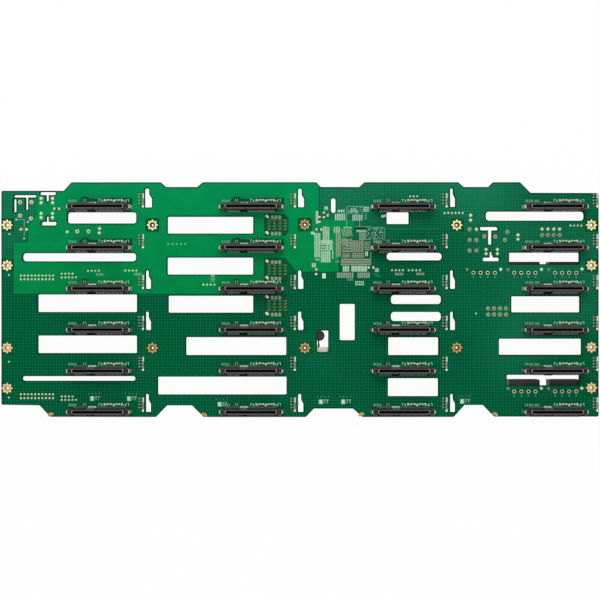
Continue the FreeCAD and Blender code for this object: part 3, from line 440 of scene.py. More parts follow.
def grown(loop, distance):
    """The loop moved outwards: each corner goes along the sum of its two outward unit normals n, m
    by distance (n + m) / (1 + n.m)."""
    ahead = unit(np.roll(loop, -1, 0) - loop)
    m = np.stack([ahead[:, 1], -ahead[:, 0]], -1)
    n = np.roll(m, 1, 0)
    return loop + distance * (n + m) / (1 + (n * m).sum(1, keepdims=True))


def circle(radius, count, middle=(0.0, 0.0)):
    """Points (r cos a, r sin a) round a middle, for count equal steps of a."""
    a = np.arange(count) * 2 * np.pi / count
    return np.column_stack([np.cos(a), np.sin(a)]) * radius + np.asarray(middle)


def plate(loop, low, high, edge=0.0):
    """A flat piece: the loop raised from low to high, its upper edge drawn in by edge."""
    rings = [ring(loop, low), ring(loop, high - edge)]
    if edge:
        rings.append(ring(grown(loop, -edge), high))
    return skin(rings)


def band(outer, inner, low, high):
    """A flat band between two loops: outer low, outer high, inner high, inner low and back."""
    return skin([ring(outer, low), ring(outer, high), ring(inner, high), ring(inner, low)], True)


def dish(profile, count, hollow=False):
    """A turned piece: each (r, z) of the profile gives a circle of radius r at height z."""
    return skin([ring(circle(r, count), z) for r, z in profile], hollow)


def drawn_along_x(side_view, left, right):
    """A bar whose (y, z) side view is drawn from left to right."""
    side_view = np.asarray(side_view, float)
    ends = [np.column_stack([np.full(len(side_view), x), side_view]) for x in (left, right)]
    return skin(ends)


def mirrored(loop):
    """The loop with left and right exchanged, kept counterclockwise."""
    return (np.asarray(loop) * (-1, 1))[::-1]


def sided(loop, side):
    """The loop of a right end, or for side -1 its mirrored copy at the left end."""
    return loop if side > 0 else mirrored(loop)


def stacked(rings):
    """A skin over loops that are given with their heights."""
    return skin([ring(loop, height) for loop, height in rings])


def board_loop(corners, radius, steps=4):
    """Picture corners as a softened, counterclockwise loop of board places."""
    return turned_left(at(softened(corners, radius, steps)))


def slab(left, right, low, high, soft, steps, foot, top, edge=0.0):
    """A small flat piece: a softened rectangle raised from its foot to its top."""
    return plate(softened(rectangle(left, right, low, high), soft, steps), foot, top, edge)


def shifted(places, across, up):
    """Board places moved by a number of picture columns and rows."""
    return places + np.array([across, up, 0]) * PIXEL


def pins_along(rows):
    """Picture places of evenly spaced pins, for rows of first column, last column, row, how many."""
    return [
        (column, row) for first, last, row, count in rows for column in np.linspace(first, last, count)
    ]


class Piece:
    """The skins of one piece, gathered before its mesh is made."""

    def __init__(self):
        self.points, self.corners, self.sizes, self.colours = [], [], [], []
        self.finishes, self.count = [], 0

    def add(self, shape, finishes, places=((0.0, 0.0, 0.0),), scale=1.0):
        """Adds a skin at each place, with one finish or one for each band and then both ends."""
        points, corners, sizes, around = shape
        places = np.asarray(places, float).reshape(-1, 3)
        moved = points[None] * scale + places[:, None]
        jump = self.count + np.arange(len(places)) * len(points)
        self.points.append(moved.reshape(-1, 3))
        self.corners.append((corners[None] + jump[:, None]).ravel())
        self.sizes.append(np.tile(sizes, len(places)))
        self.count += moved.shape[0] * moved.shape[1]
        names = [finishes] if isinstance(finishes, str) else list(finishes)
        for name in names:
            if name not in self.finishes:
                self.finishes.append(name)
        numbers = np.array([self.finishes.index(name) for name in names])
        if len(numbers) == 1:
            numbers = np.repeat(numbers, len(sizes))
        else:
            numbers = np.concatenate([np.repeat(numbers[:-2], around), numbers[-2:]])
        self.colours.append(np.tile(numbers, len(places)))

    def make(self, name, slot, *nodes):
        """Makes the mesh and the object, which stands for the named solids."""
        mesh = bpy.data.meshes.new(name)
        points = np.concatenate(self.points).astype(np.float32)
        corners = np.concatenate(self.corners).astype(np.int32)
        sizes = np.concatenate(self.sizes)
        mesh.vertices.add(len(points))
        mesh.vertices.foreach_set("co", points.ravel())
        mesh.loops.add(len(corners))
        mesh.loops.foreach_set("vertex_index", corners)
        mesh.polygons.add(len(sizes))
        starts = np.concatenate([[0], np.cumsum(sizes)[:-1]]).astype(np.int32)
        mesh.polygons.foreach_set("loop_start", starts)
        for finish_name in self.finishes:
            mesh.materials.append(FINISHES[finish_name])
        colours = np.concatenate(self.colours).astype(np.int32)
        mesh.polygons.foreach_set("material_index", colours)
        mesh.polygons.foreach_set("use_smooth", np.ones(len(sizes), bool))
        mesh.update(calc_edges=True)
        mesh.validate()
        mesh.set_sharp_from_angle(angle=SHARP_TURN)
        settle(bpy.data.objects.new(name, mesh), slot, *nodes)


def settle(thing, slot, *nodes):
    """Puts an object in the scene, riding on the board's body."""
    bpy.context.scene.collection.objects.link(thing)
    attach(thing, "root")
    if nodes:
        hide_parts(*nodes)


def on_board(points):
    """Picture places on the board's upper face, as places in the frame."""
    flat = np.atleast_2d(at(points))
    return np.column_stack([flat, np.full(len(flat), FACE)])


def bays(columns=BAY_COLUMNS, rows=BAY_ROWS):
    """Board places of the middles of the connectors' slots."""
    return on_board([(column, row) for column in columns for row in rows])


def keyhole(left, top, bottom, head, foot):
    """A slot with a narrow head, a sloping shoulder on the right and a wide foot."""
    neck = top + 0.31 * (bottom - top)
    shoulder = top + 0.54 * (bottom - top)
    corners = [
        (left, bottom), (left, top), (left + head, top), (left + head, neck),
        (left + foot, shoulder), (left + foot, bottom),
    ]
    return softened(corners, np.array([0.8, 1.3, 1.3, 0.5, 0.5, 0.8]))


def tee(left, right, upper, lower, stem_left, stem_right, far):
    """A T: a bar with round ends and a stem that leaves it downwards or upwards, as far says."""
    near, edge = (lower, upper) if far > lower else (upper, lower)
    corners = [
        (left, edge), (right, edge), (right, near), (stem_right, near),
        (stem_right, far), (stem_left, far), (stem_left, near), (left, near),
    ]
    return softened(corners, np.array([1.5, 1.5, 1.5, 0.5, 1.2, 1.2, 0.5, 1.5]))


def openings():
    """Every opening of the board as a counterclockwise loop of board places."""
    loops = [softened([(l, t), (r, t), (r, b), (l, b)], soft) for l, r, t, b, soft in WINDOWS]
    loops += [keyhole(*numbers) for numbers in KEYHOLES]
    loops += [tee(*numbers) for numbers in TEES]
    return [turned_left(at(loop)) for loop in loops]


def screw_places():
    """Picture places of all the screw holes."""
    return [place for places in SCREWS.values() for place in places]


def board_outline():
    """The board's outline as a counterclockwise loop, kept within the solid board's box."""
    loop = board_loop(OUTLINE, 1.6, 3)
    low = np.array([BOARD_LOW.x, BOARD_LOW.y])
    high = np.array([BOARD_HIGH.x, BOARD_HIGH.y])
    return np.clip(loop, low, high)


def circuit_board():
    """The board: a flat curve of its outline and all its openings, filled and thickened."""
    curve = bpy.data.curves.new("circuit_board_outline", "CURVE")
    curve.dimensions = "2D"
    curve.fill_mode = "BOTH"
    curve.extrude = (FACE - REAR) / 2
    screw_holes = [circle(SCREW_RADIUS * MM, 24, middle) for middle in at(screw_places())]
    pin_holes = [circle(PIN_HOLE_RADIUS, 14, middle) for middle in at(pins_along(POWER_PINS))]
    for loop in [board_outline(), *openings(), *screw_holes, *pin_holes]:
        spline = curve.splines.new("POLY")
        spline.points.add(len(loop) - 1)
        flat = np.column_stack([loop, np.zeros(len(loop)), np.ones(len(loop))])
        spline.points.foreach_set("co", flat.ravel())
        spline.use_cyclic_u = True
    drawn = bpy.data.objects.new("circuit_board_curve", curve)
    bpy.context.scene.collection.objects.link(drawn)
    bpy.context.view_layer.update()
    mesh = bpy.data.meshes.new_from_object(drawn)
    bpy.data.objects.remove(drawn)
    mesh.name = "printed_board"
    close_seams(mesh, (FACE + REAR) / 2)
    mesh.materials.clear()
    mesh.materials.append(FINISHES["green_mask"])
    mesh.materials.append(FINISHES["laminate_edge"])
    facing = np.zeros(len(mesh.polygons) * 3)
    mesh.polygons.foreach_get("normal", facing)
    upright = np.abs(facing.reshape(-1, 3)[:, 2]) < 0.5
    mesh.polygons.foreach_set("material_index", upright.astype(np.int32))
    settle(bpy.data.objects.new("printed_board", mesh), "solder_mask", "circuit_board")


def close_seams(mesh, height):
    """Joins points of the mesh that lie together, lifts it and turns its faces outwards."""
    work = bmesh.new()
    work.from_mesh(mesh)
    bmesh.ops.remove_doubles(work, verts=work.verts, dist=1e-7)
    bmesh.ops.translate(work, verts=work.verts, vec=(0, 0, height))
    bmesh.ops.recalc_face_normals(work, faces=work.faces)
    work.to_mesh(mesh)
    work.free()
    mesh.update()


def bare_rims():
    """The narrow rim without copper along the board's edge and round each opening."""
    piece = Piece()
    low, high = FACE - RIM_DEPTH, FACE + FILM
    outline = board_outline()
    piece.add(band(outline, grown(outline, -RIM_WIDTH), low, high), "bare_rim")
    for loop in openings():
        piece.add(band(grown(loop, RIM_WIDTH), loop, low, high), "bare_rim")
    piece.make("bare_rims", "solder_mask")


# Darker patches of mask: beside an upper left bay, from its middle; a small one below those bays, from
# the bay's column; round the pads of the data connectors; half the side of a screw hole's patch.
BAY_PATCH = [
    (-21.5, -1.5), (-21.5, -4), (-18, -9.6), (-12.9, -10.5), (-10, -8.4), (0.5, -7.6),
    (3.5, -9.2), (33, -9.2), (33, -1.5),
]
SMALL_PATCH = [(-17.5, 278.6), (-12.3, 278.6), (-12.3, 285), (-17.5, 285)]
CAGE_PATCHES = [
    [(264.2, 213.8), (285, 213.8), (288.6, 218), (288.6, 232), (285, 236), (264.2, 236)],
    [(264.2, 258.4), (282.7, 258.4), (288.4, 263), (288.4, 281), (264.2, 281)],
    [(264.2, 295), (288.4, 295), (288.4, 316.4), (264.2, 316.4)],
]
SCREW_PATCH = 6.9
# How far in front of each row's slots the strip of painted shadow under the solder tails ends, in
# millimetres.
SHADE_REACH = (3.1, 3.4, 4.1, 4.2, 3.2, 4.0)


def shade_patches():
    """Darker mask round pads, screw holes and small parts, a paler strip of mask behind each housing,
    and a strip of painted shadow in front of each housing over its solder tails. A screw hole's patch
    lies between its outer loop and the same bearings at the hole's radius."""
    piece = Piece()
    patches = []
    for column in BAY_COLUMNS[:2]:
        patches += [([(column + x, row + y) for x, y in BAY_PATCH], 1) for row in BAY_ROWS[:2]]
        patches.append(([(column + x, row) for x, row in SMALL_PATCH], 0.8))
    patches += [(corners, 1) for corners in CAGE_PATCHES]
    for corners, radius in patches:
        piece.add(plate(board_loop(corners, radius, 2), FACE, FACE + FILM), "shade_patch")
    square = rectangle(-SCREW_PATCH, SCREW_PATCH, -SCREW_PATCH, SCREW_PATCH) * PIXEL
    for middle in at(screw_places()):
        outer = turned_left(softened(square + middle, 2 * PIXEL, 5))
        outer = np.clip(outer, (BOARD_LOW.x, -1), (BOARD_HIGH.x, 1))
        inner = middle + unit(outer - middle) * SCREW_RADIUS * MM
        piece.add(band(outer, inner, FACE, FACE + FILM), "shade_patch")
    # A paler grey-green strip of mask just behind each housing.
    piece.add(slab(-18.2, 18.2, 1.8, 3.5, 0.3, 2, 0, 0.03), "pale_back_strip", bays(), MM)
    # Painted shadow: a dark strip in front of each housing over its solder tails, as far as that row's
    # shadow reaches.
    for row, reach in zip(BAY_ROWS, SHADE_REACH):
        before = slab(-17.6, 17.6, -reach, -2.3, 0.3, 2, 0, 0.03)
        piece.add(before, "tail_shade", bays(rows=(row,)), MM)
    piece.make("shade_patches", "solder_mask")


# Screw-hole stars: radius of the valleys and length of the rays in millimetres, how many rays and how
# pointed they are.
STAR_VALLEY, STAR_LENGTH, STAR_RAYS, STAR_POINT = 2.75, 1.15, 8, 1.3


def screw_pads():
    """Earthing pads: a star round each screw hole, whose edge at the bearing a is the valley plus the
    length times ((1 + cos 8a) / 2)^point from the middle, with a worn ring and a plated wall."""
    piece = Piece()
    steps = 96
    bearings = np.arange(steps) * 2 * np.pi / steps
    reach = STAR_VALLEY + STAR_LENGTH * ((1 + np.cos(STAR_RAYS * bearings)) / 2) ** STAR_POINT
    star = band(circle(1, steps) * reach[:, None], circle(1.6, steps), 0.0, 0.06)
    worn_ring = dish([(2.05, 0.0), (2.05, 0.08), (1.6, 0.1), (1.6, 0.0)], 32, True)
    rear_ring = dish([(3.2, -2.47), (3.2, -2.4), (1.75, -2.4), (1.75, -2.47)], 32, True)
    piece.add(rear_ring, "tan_gold", on_board(screw_places()), MM)
    for look, (foot, *finishes) in SCREW_LOOKS.items():
        inside = [(1.45, 0.1), (foot + 0.15, -0.9), (foot, -2.35)]
        wall = dish([(1.75, -2.35), (1.75, 0.1), *inside], 24, True)
        for shape, name in zip((star, worn_ring, wall), finishes):
            piece.add(shape, name, on_board(SCREWS[look]), MM)
    piece.make("screw_pads", "gilt_pins")


def solder_joints():
    """Soldered pins: low domes for the small ones, rings or domes for the heavy ones."""
    piece = Piece()
    small = dish([(1.32, 0.0), (1.32, 0.05), (0.9, 0.3), (0.45, 0.75), (0.3, 0.8)], 12)
    for name, rows in (("pale_solder", PIN_ROWS), ("pale_mark", GREEN_PINS)):
        piece.add(small, name, on_board(pins_along(rows)), SMALL_JOINT * PIXEL)
    spots = {look: list(joints) for look, joints in JOINTS.items()}
    right, left = HEADER_COLUMNS
    spots["dome"] += [(column, HEADER_ROWS[0][0]) for column in right]
    spots["grey_ring"] += [(column, HEADER_ROWS[0][1]) for column in right]
    spots["grey_ring"] += [(column, row) for row in HEADER_ROWS[1] for column in left]
    rim = dish([(2.0, 0), (2.0, 0.1), (1.5, 0.25), (1.05, 0.2), (1.05, 0)], 18, True)
    well = dish([(1.1, 0), (1.1, 0.1), (0.6, 0.12)], 14)
    dome = dish([(1.85, 0), (1.85, 0.08), (1.4, 0.3), (0.8, 0.7), (0.3, 0.8)], 16)
    tip = dish([(0.6, 0), (0.6, 0.3), (0.35, 0.5)], 10)
    for look, places in spots.items():
        middles = on_board(places)
        if look in DOME_SIZES:
            piece.add(dome, DOME_FINISHES, middles, DOME_SIZES[look] * PIXEL)
        else:
            piece.add(rim, look, middles, PIXEL)
            piece.add(well, "via_dark", middles, PIXEL)
            piece.add(tip, look, shifted(middles, -0.35, 0.25), PIXEL)
    piece.make("solder_joints", "tinned_metal")


def power_pin_rings():
    """Bare rings round the open pin holes, a mark below each, and the plastic pegs' heads."""
    piece = Piece()
    pins = pins_along(POWER_PINS)
    ring_shape = dish([(1.9, 0), (1.9, 0.08), (1.25, 0.1), (1.25, 0)], 20, True)
    piece.add(ring_shape, "pale_ring", on_board(pins), PIXEL)
    head = dish([(1.6, 0), (1.6, 0.2), (1.1, 0.6), (0.3, 0.75)], 16)
    for look, places in PEGS.items():
        piece.add(head, look, on_board(places), PIXEL)
    mark = slab(-0.45, 0.45, -0.75, 0.75, 0.3, 2, 0, 0.04)
    piece.add(mark, "pale_mark", shifted(on_board(pins), 0, -MARK_BELOW), PIXEL)
    piece.make("power_pin_rings", "tinned_metal")


# Sizes of a drive connector in millimetres from its bay's middle: the recess of the right ear, the
# housing's top, the raised rim and the floor of its slot, and the top of its end brackets.
EAR_MIDDLE = np.array([19.9, -0.2])
HOUSING_TOP = 8.8
SLOT_RIM = 8.95
SLOT_FLOOR = 2.6
BRACKET_TOP = 9.0
BRACKET = np.array([
    (16.6, 0.95), (17.3, 0.95), (17.3, -1.3), (17.7, -1.3), (17.95, -0.9), (17.95, 0.9), (17.7, 1.3),
    (16.6, 1.3),
])
# Its front edge and its key, both in painted shade, its tongue, a shelf at its back with a painted
# highlight, and the pad of the second port: left, right, low, high, rounding, steps of the rounding,
# foot, top, drawn-in edge, finish.
CONNECTOR_SLABS = [
    (-17.9, 17.9, -2.45, -2.0, 0.15, 1, 8.4, 8.86, 0.03, "slot_black"),
    (-8.0, -2.6, -3.5, -2.4, 0.3, 2, 0, 3.4, 0.2, "slot_black"),
    (-7.8, -2.5, 1.6, 2.4, 0.2, 2, 0, 8.7, 0.1, "worn_rim"),
    (-7.6, -4.2, -2.05, -1.35, 0.25, 2, 8.4, 8.93, 0.06, "ear_rim"),
    (-7.7, -2.3, 2.8, 3.4, 0.2, 2, 0, 0.06, 0.0, "grey_pad"),
]
# Where its tails stand, 1.27 or 0.8 mm apart, and the side views of a tail before and behind it.
SIGNAL_TAILS = -12.2 + 1.27 * (np.arange(7) - 3)
POWER_TAILS = 6.85 + 1.27 * (np.arange(15) - 7)
SECOND_PORT_TAILS = -5.0 + 0.8 * (np.arange(7) - 3)
TAIL_SIDE = [
    (-2.3, 0.85), (-2.3, 1.05), (-2.75, 1.0), (-3.0, 0.35), (-3.5, 0.3), (-3.5, 0.0),
    (-3.1, 0.0), (-2.8, 0.75),
]
SECOND_TAIL_SIDE = [
    (2.3, 0.9), (2.55, 0.9), (2.75, 0.1), (3.3, 0.06), (3.3, 0.2), (2.85, 0.24), (2.65, 1.05),
    (2.3, 1.05),
]


def ear(side):
    """A housing's ear with its round recess, side -1 for the left one."""
    corners = [(18.4, -2.5), (20.8, -2.5), (21.3, -1.9), (21.3, 1.3), (20.8, 1.9), (18.4, 1.9)]
    loop = softened(corners, 0.4, 3)
    hole = unit(loop - EAR_MIDDLE)
    rings = [
        (loop, 0), (loop, 6.3), (grown(loop, -0.25), 6.6), (EAR_MIDDLE + hole * 1.45, 6.6),
        (EAR_MIDDLE + hole * 1.3, 6.3), (EAR_MIDDLE + hole * 1.25, 4.6),
    ]
    rims = ["ear_rim"] * 3
    bands = ["housing_black", *rims, "recess_brown", "housing_black", "recess_brown"]
    return stacked([(sided(line, side), height) for line, height in rings]), bands


def crescent(side, inner, outer, spread):
    """A plate between two arcs round an ear's end, spread radians to each hand."""
    a = np.linspace(-spread, spread, 14)
    arc = np.column_stack([np.cos(a), np.sin(a)])
    return sided(np.concatenate([arc * outer, arc[::-1] * inner]) + EAR_MIDDLE, side)


def beside(place, across, forward=0.0, up=0.0):
    """Places in a row across a bay's middle, all as far forward and up, in millimetres."""
    count = len(across)
    return np.column_stack([across, np.full(count, forward), np.full(count, up)]) * MM + place


# The row of small capacitors above each connector, from the bay's middle in pixels: left, right,
# top, bottom, height and finish of each soldered end, body and bracket stroke.
CAPACITOR_ROW = [
    (-1.0, 0.7, 7.9, 7.3, 0.1, "mint_print"), (-1.0, -0.4, 7.3, 5.0, 0.1, "mint_print"),
    (0.8, 3.2, 7.2, 6.4, 0.1, "mint_tin"), (1.6, 3.2, 5.9, 5.0, 0.1, "mint_print"),
    (4.3, 5.9, 7.9, 5.6, 0.6, "bright_mint"), (6.1, 6.9, 6.6, 5.0, 0.5, "mint_tin"),
    (13.4, 15.5, 7.2, 5.0, 0.6, "bright_mint"),
    (21.5, 23.1, 7.9, 5.6, 0.6, "bright_mint"), (23.6, 24.6, 6.8, 5.2, 0.5, "mint_tin"),
    (25.2, 27.4, 7.2, 6.4, 0.1, "mint_tin"), (25.2, 26.8, 5.9, 5.0, 0.1, "mint_print"),
    (27.8, 29.4, 7.9, 7.3, 0.1, "mint_print"), (28.8, 29.4, 7.3, 5.0, 0.1, "mint_print"),
]
for left, right, top in ((7.2, 9.6, 7.7), (10.2, 12.8, 7.6), (16.0, 18.2, 7.6), (18.8, 20.8, 7.6)):
    CAPACITOR_ROW.append((left, right, top, 6.1, 0.8, "ceramic_pink"))
    CAPACITOR_ROW.append((left + 0.2, right - 0.2, 6.1, 4.8, 0.7, "ceramic_brown"))
# How far right of a bay's middle its stack of resistors with the lamp stands, for each column.
LAMP_OFFSETS = (41.9, 41.9, 41.9, 40.7)
# How far above the slots' middle row the stack's resistors and dots and the printed strokes are, how
# far right of the bays' middles those strokes are, and where the part between two bars stands.
RESISTORS_UP = (12.4, 9.5, 6.5, 3.5)
DOTS_UP = (7.0, 4.5, 2.4)
STROKES_UP = 6.0
STROKES = (-29.0, -27.3, -25.6, -23.9, -22.2)
LAST_STROKES = (-19.4, -17.9, -16.4)
TWO_BARS = (-14.8, 6.4)


def drive_connector(piece, place):
    """One drive connector: housing with its slot, ears, end clasps, fingers and solder tails. The slot,
    the front edge, the key and the grooves beside the ears are painted in shade, the slot's lip and the
    clasps' tops carry painted highlights, and the clasps on the lower half of the board are painted in
    shade."""
    outer = softened(rectangle(-18.7, 18.7, -2.5, 1.9), 0.45, 3)
    slot = softened(rectangle(-17.3, 17.3, -0.82, 0.82), 0.6, 3)
    rings = [
        (outer, 0), (outer, 8.5), (grown(outer, -0.3), HOUSING_TOP), (grown(slot, 0.62), HOUSING_TOP),
        (grown(slot, 0.5), SLOT_RIM), (grown(slot, 0.12), SLOT_RIM), (slot, HOUSING_TOP),
        (slot, SLOT_FLOOR),
    ]
    # Painted highlight on the slot's lip; painted shade on the slot's walls and floor.
    bands = ["housing_black"] * 3 + ["worn_rim"] * 3 + ["slot_black", "housing_black", "slot_black"]
    piece.add(stacked(rings), bands, place, MM)
    # The clasps on the lower half of the board are painted in shade.
    slope = "lit_clasp" if place[1] > 0 else "shaded_clasp"
    for side in (-1, 1):
        piece.add(*ear(side), place, MM)
        foot, brow = crescent(side, 2.2, 3.0, 0.5), crescent(side, 1.5, 1.95, 0.7)
        clasp = stacked([(foot, 0), (foot, 0.4), (brow, 6.7)])
        # The clasp's top carries a painted highlight.
        piece.add(clasp, [slope, slope, "clasp_highlight", "clasp_highlight"], place, MM)
        piece.add(plate(sided(BRACKET, side), 8.7, BRACKET_TOP, 0.04), "bright_rim", place, MM)
        # Painted shade: a dark plate over the groove between the slot's end and the ear.
        hollow = softened(rectangle(18.1, 18.75, -1.1, 0.8), 0.3, 2)
        piece.add(plate(sided(hollow, side), 8.3, 8.84), "slot_black", place, MM)
    for *sizes, name in CONNECTOR_SLABS:
        piece.add(slab(*sizes), name, place, MM)
    tails = np.concatenate([SIGNAL_TAILS, POWER_TAILS])
    finger = slab(-0.3, 0.3, -0.4, 0.6, 0.1, 1, 0, 0.2, 0.06)
    piece.add(finger, "finger_metal", beside(place, tails, -1.8, 8.7), MM)
    piece.add(drawn_along_x(TAIL_SIDE, -0.36, 0.36), "tail_metal", beside(place, tails), MM)
    second_tail = drawn_along_x(SECOND_TAIL_SIDE, -0.27, 0.27)
    piece.add(second_tail, "bright_mint", beside(place, SECOND_PORT_TAILS), MM)


def drive_connectors():
    """The 24 drive connectors, column by column."""
    numbers = [(column, row) for column in range(1, 5) for row in range(1, 7)]
    for (column, row), place in zip(numbers, bays()):
        piece = Piece()
        drive_connector(piece, place)
        stands_for = [f"drive_connector_{column}_{row}"]
        if row == 1:
            stands_for.append(f"contact_tails_{column}")
        if (column, row) == (1, 1):
            stands_for.append("solder_tabs")
        piece.make(f"bay_socket_{column}_{row}", "connector_nylon", *stands_for)


def chip_part(piece, places, size, body, ends, lying=True):
    """Two-terminal parts: a body between two soldered ends, size in pixels."""
    length, width, height = size
    third = length * 0.3
    body_loop = rectangle(-length / 2 + third, length / 2 - third, -width * 0.46, width * 0.46)
    end_loop = rectangle(-third / 2, third / 2, -width / 2, width / 2)
    if not lying:
        body_loop, end_loop = body_loop[:, ::-1][::-1], end_loop[:, ::-1][::-1]
    piece.add(plate(body_loop, 0, height, 0.08), body, places, PIXEL)
    off = np.array([1, 0] if lying else [0, 1]) * (length / 2 - third / 2)
    for sign in (-1, 1):
        piece.add(plate(end_loop, 0, height * 0.9, 0.1), ends, shifted(places, *(sign * off)), PIXEL)


def bay_capacitors():
    """Beside each connector: its row of small capacitors, two-terminal parts and printed strokes."""
    piece = Piece()
    for left, right, high, low, height, name in CAPACITOR_ROW:
        block = slab(left, right, low, high, 0.25, 1, 0, height, min(0.1, height / 2))
        piece.add(block, name, bays(), PIXEL)
    two_bars = shifted(bays(BAY_COLUMNS[:3]), *TWO_BARS)
    bar = slab(-0.45, 0.45, -1.6, 1.6, 0.3, 2, 0, 0.7, 0.1)
    for x in (-1.1, 1.1):
        piece.add(bar, "grey_pad", shifted(two_bars, x, 0), PIXEL)
    piece.add(plate(rectangle(-0.7, 0.7, -1.1, 1.1), 0, 0.9, 0.1), "resistor_dark", two_bars, PIXEL)
    stroke = slab(-0.5, 0.5, -1.3, 1.3, 0.3, 1, 0, 0.05)
    first, last = bays(BAY_COLUMNS[:1]), bays(BAY_COLUMNS[3:])
    labelled = np.concatenate([shifted(first, -1.5, 0), bays(BAY_COLUMNS[1:])])
    for middles, strokes in ((labelled, STROKES), (last, LAST_STROKES)):
        for x in strokes:
            piece.add(stroke, "pale_mark", shifted(middles, x, STROKES_UP), PIXEL)
    piece.make("bay_capacitors", "chip_resin")


def lamp_stacks():
    """Right of each bay: four resistors in a stack, a tall pad, dots and the status lamp."""
    piece = Piece()
    tall = slab(-0.65, 0.65, -2.6, 2.6, 0.4, 2, 0, 0.3, 0.1)
    dot = slab(-0.6, 0.6, -0.6, 0.6, 0.3, 1, 0, 0.2, 0.05)
    lamp = dish([(1.15, 0), (1.15, 0.5), (0.95, 0.95), (0.4, 1.05)], 16)
    base = plate(rectangle(-0.9, 0.9, -0.6, 0.6), 0, 0.5, 0.1)
    for column, x in zip(BAY_COLUMNS, LAMP_OFFSETS):
        middles = bays((column,))
        for up in RESISTORS_UP:
            chip_part(piece, shifted(middles, x - 0.6, up), (4.2, 1.6, 0.7), "resistor_dark", "grey_pad")
        piece.add(tall, "bright_mint", shifted(middles, x + 1.9, 11.0), PIXEL)
        for up in DOTS_UP:
            piece.add(dot, "mint_tin", shifted(middles, x + 1.9, up), PIXEL)
        piece.add(lamp, "lamp_resin", shifted(middles, x + 1.6, 0.4), PIXEL)
        piece.add(base, "resistor_dark", shifted(middles, x - 1.2, 0.6), PIXEL)
    piece.make("lamp_stacks", "lamp_resin", "status_lamps")


# Picture rows of the upper and lower pads of the three data connectors, and columns of their pads
# and of their contacts.
CAGE_ROWS = ((216.2, 232.7), (261, 277.6), (296.6, 313.6))
CAGE_PADS = (272.3, 275.9, 279.6)
CAGE_CONTACTS = (269.1, 274.4, 280.1, 285.4)


def cage_pads():
    """Pads that the three data connectors' cages and contacts are soldered to."""
    piece = Piece()
    lobe = dish([(1.5, 0), (1.5, 0.1), (1.1, 0.5), (0.4, 0.6)], 16)
    pad = slab(-1.5, 1.5, -1.9, 1.9, 1.1, 3, 0, 0.2, 0.08)
    slit = slab(-0.9, 0.9, -0.25, 0.25, 0.1, 1, 0.15, 0.24)
    line = turned_left(softened([(-0.95, -0.75), (-0.5, -0.95), (0.95, 0.75), (0.5, 0.95)], 0.15, 1))
    stroke = plate(line, 0, 0.06)
    for upper, lower in CAGE_ROWS:
        for row in (upper, lower):
            piece.add(lobe, "cage_solder", on_board([(266.6, row - 0.3), (267.6, row + 0.5)]), PIXEL)
            pads = on_board([(column, row + 1.0) for column in CAGE_PADS])
            piece.add(pad, "grey_pad", pads, PIXEL)
            piece.add(slit, "dull_solder", pads, PIXEL)
        spots = [
            (column + shift, row)
            for column in CAGE_CONTACTS
            for shift in (-0.75, 0.75)
            for row in np.linspace(upper + 4.2, lower - 3.6, 4)
        ]
        piece.add(stroke, "pale_strokes", on_board(spots), PIXEL)
    piece.make("cage_pads", "tinned_metal")


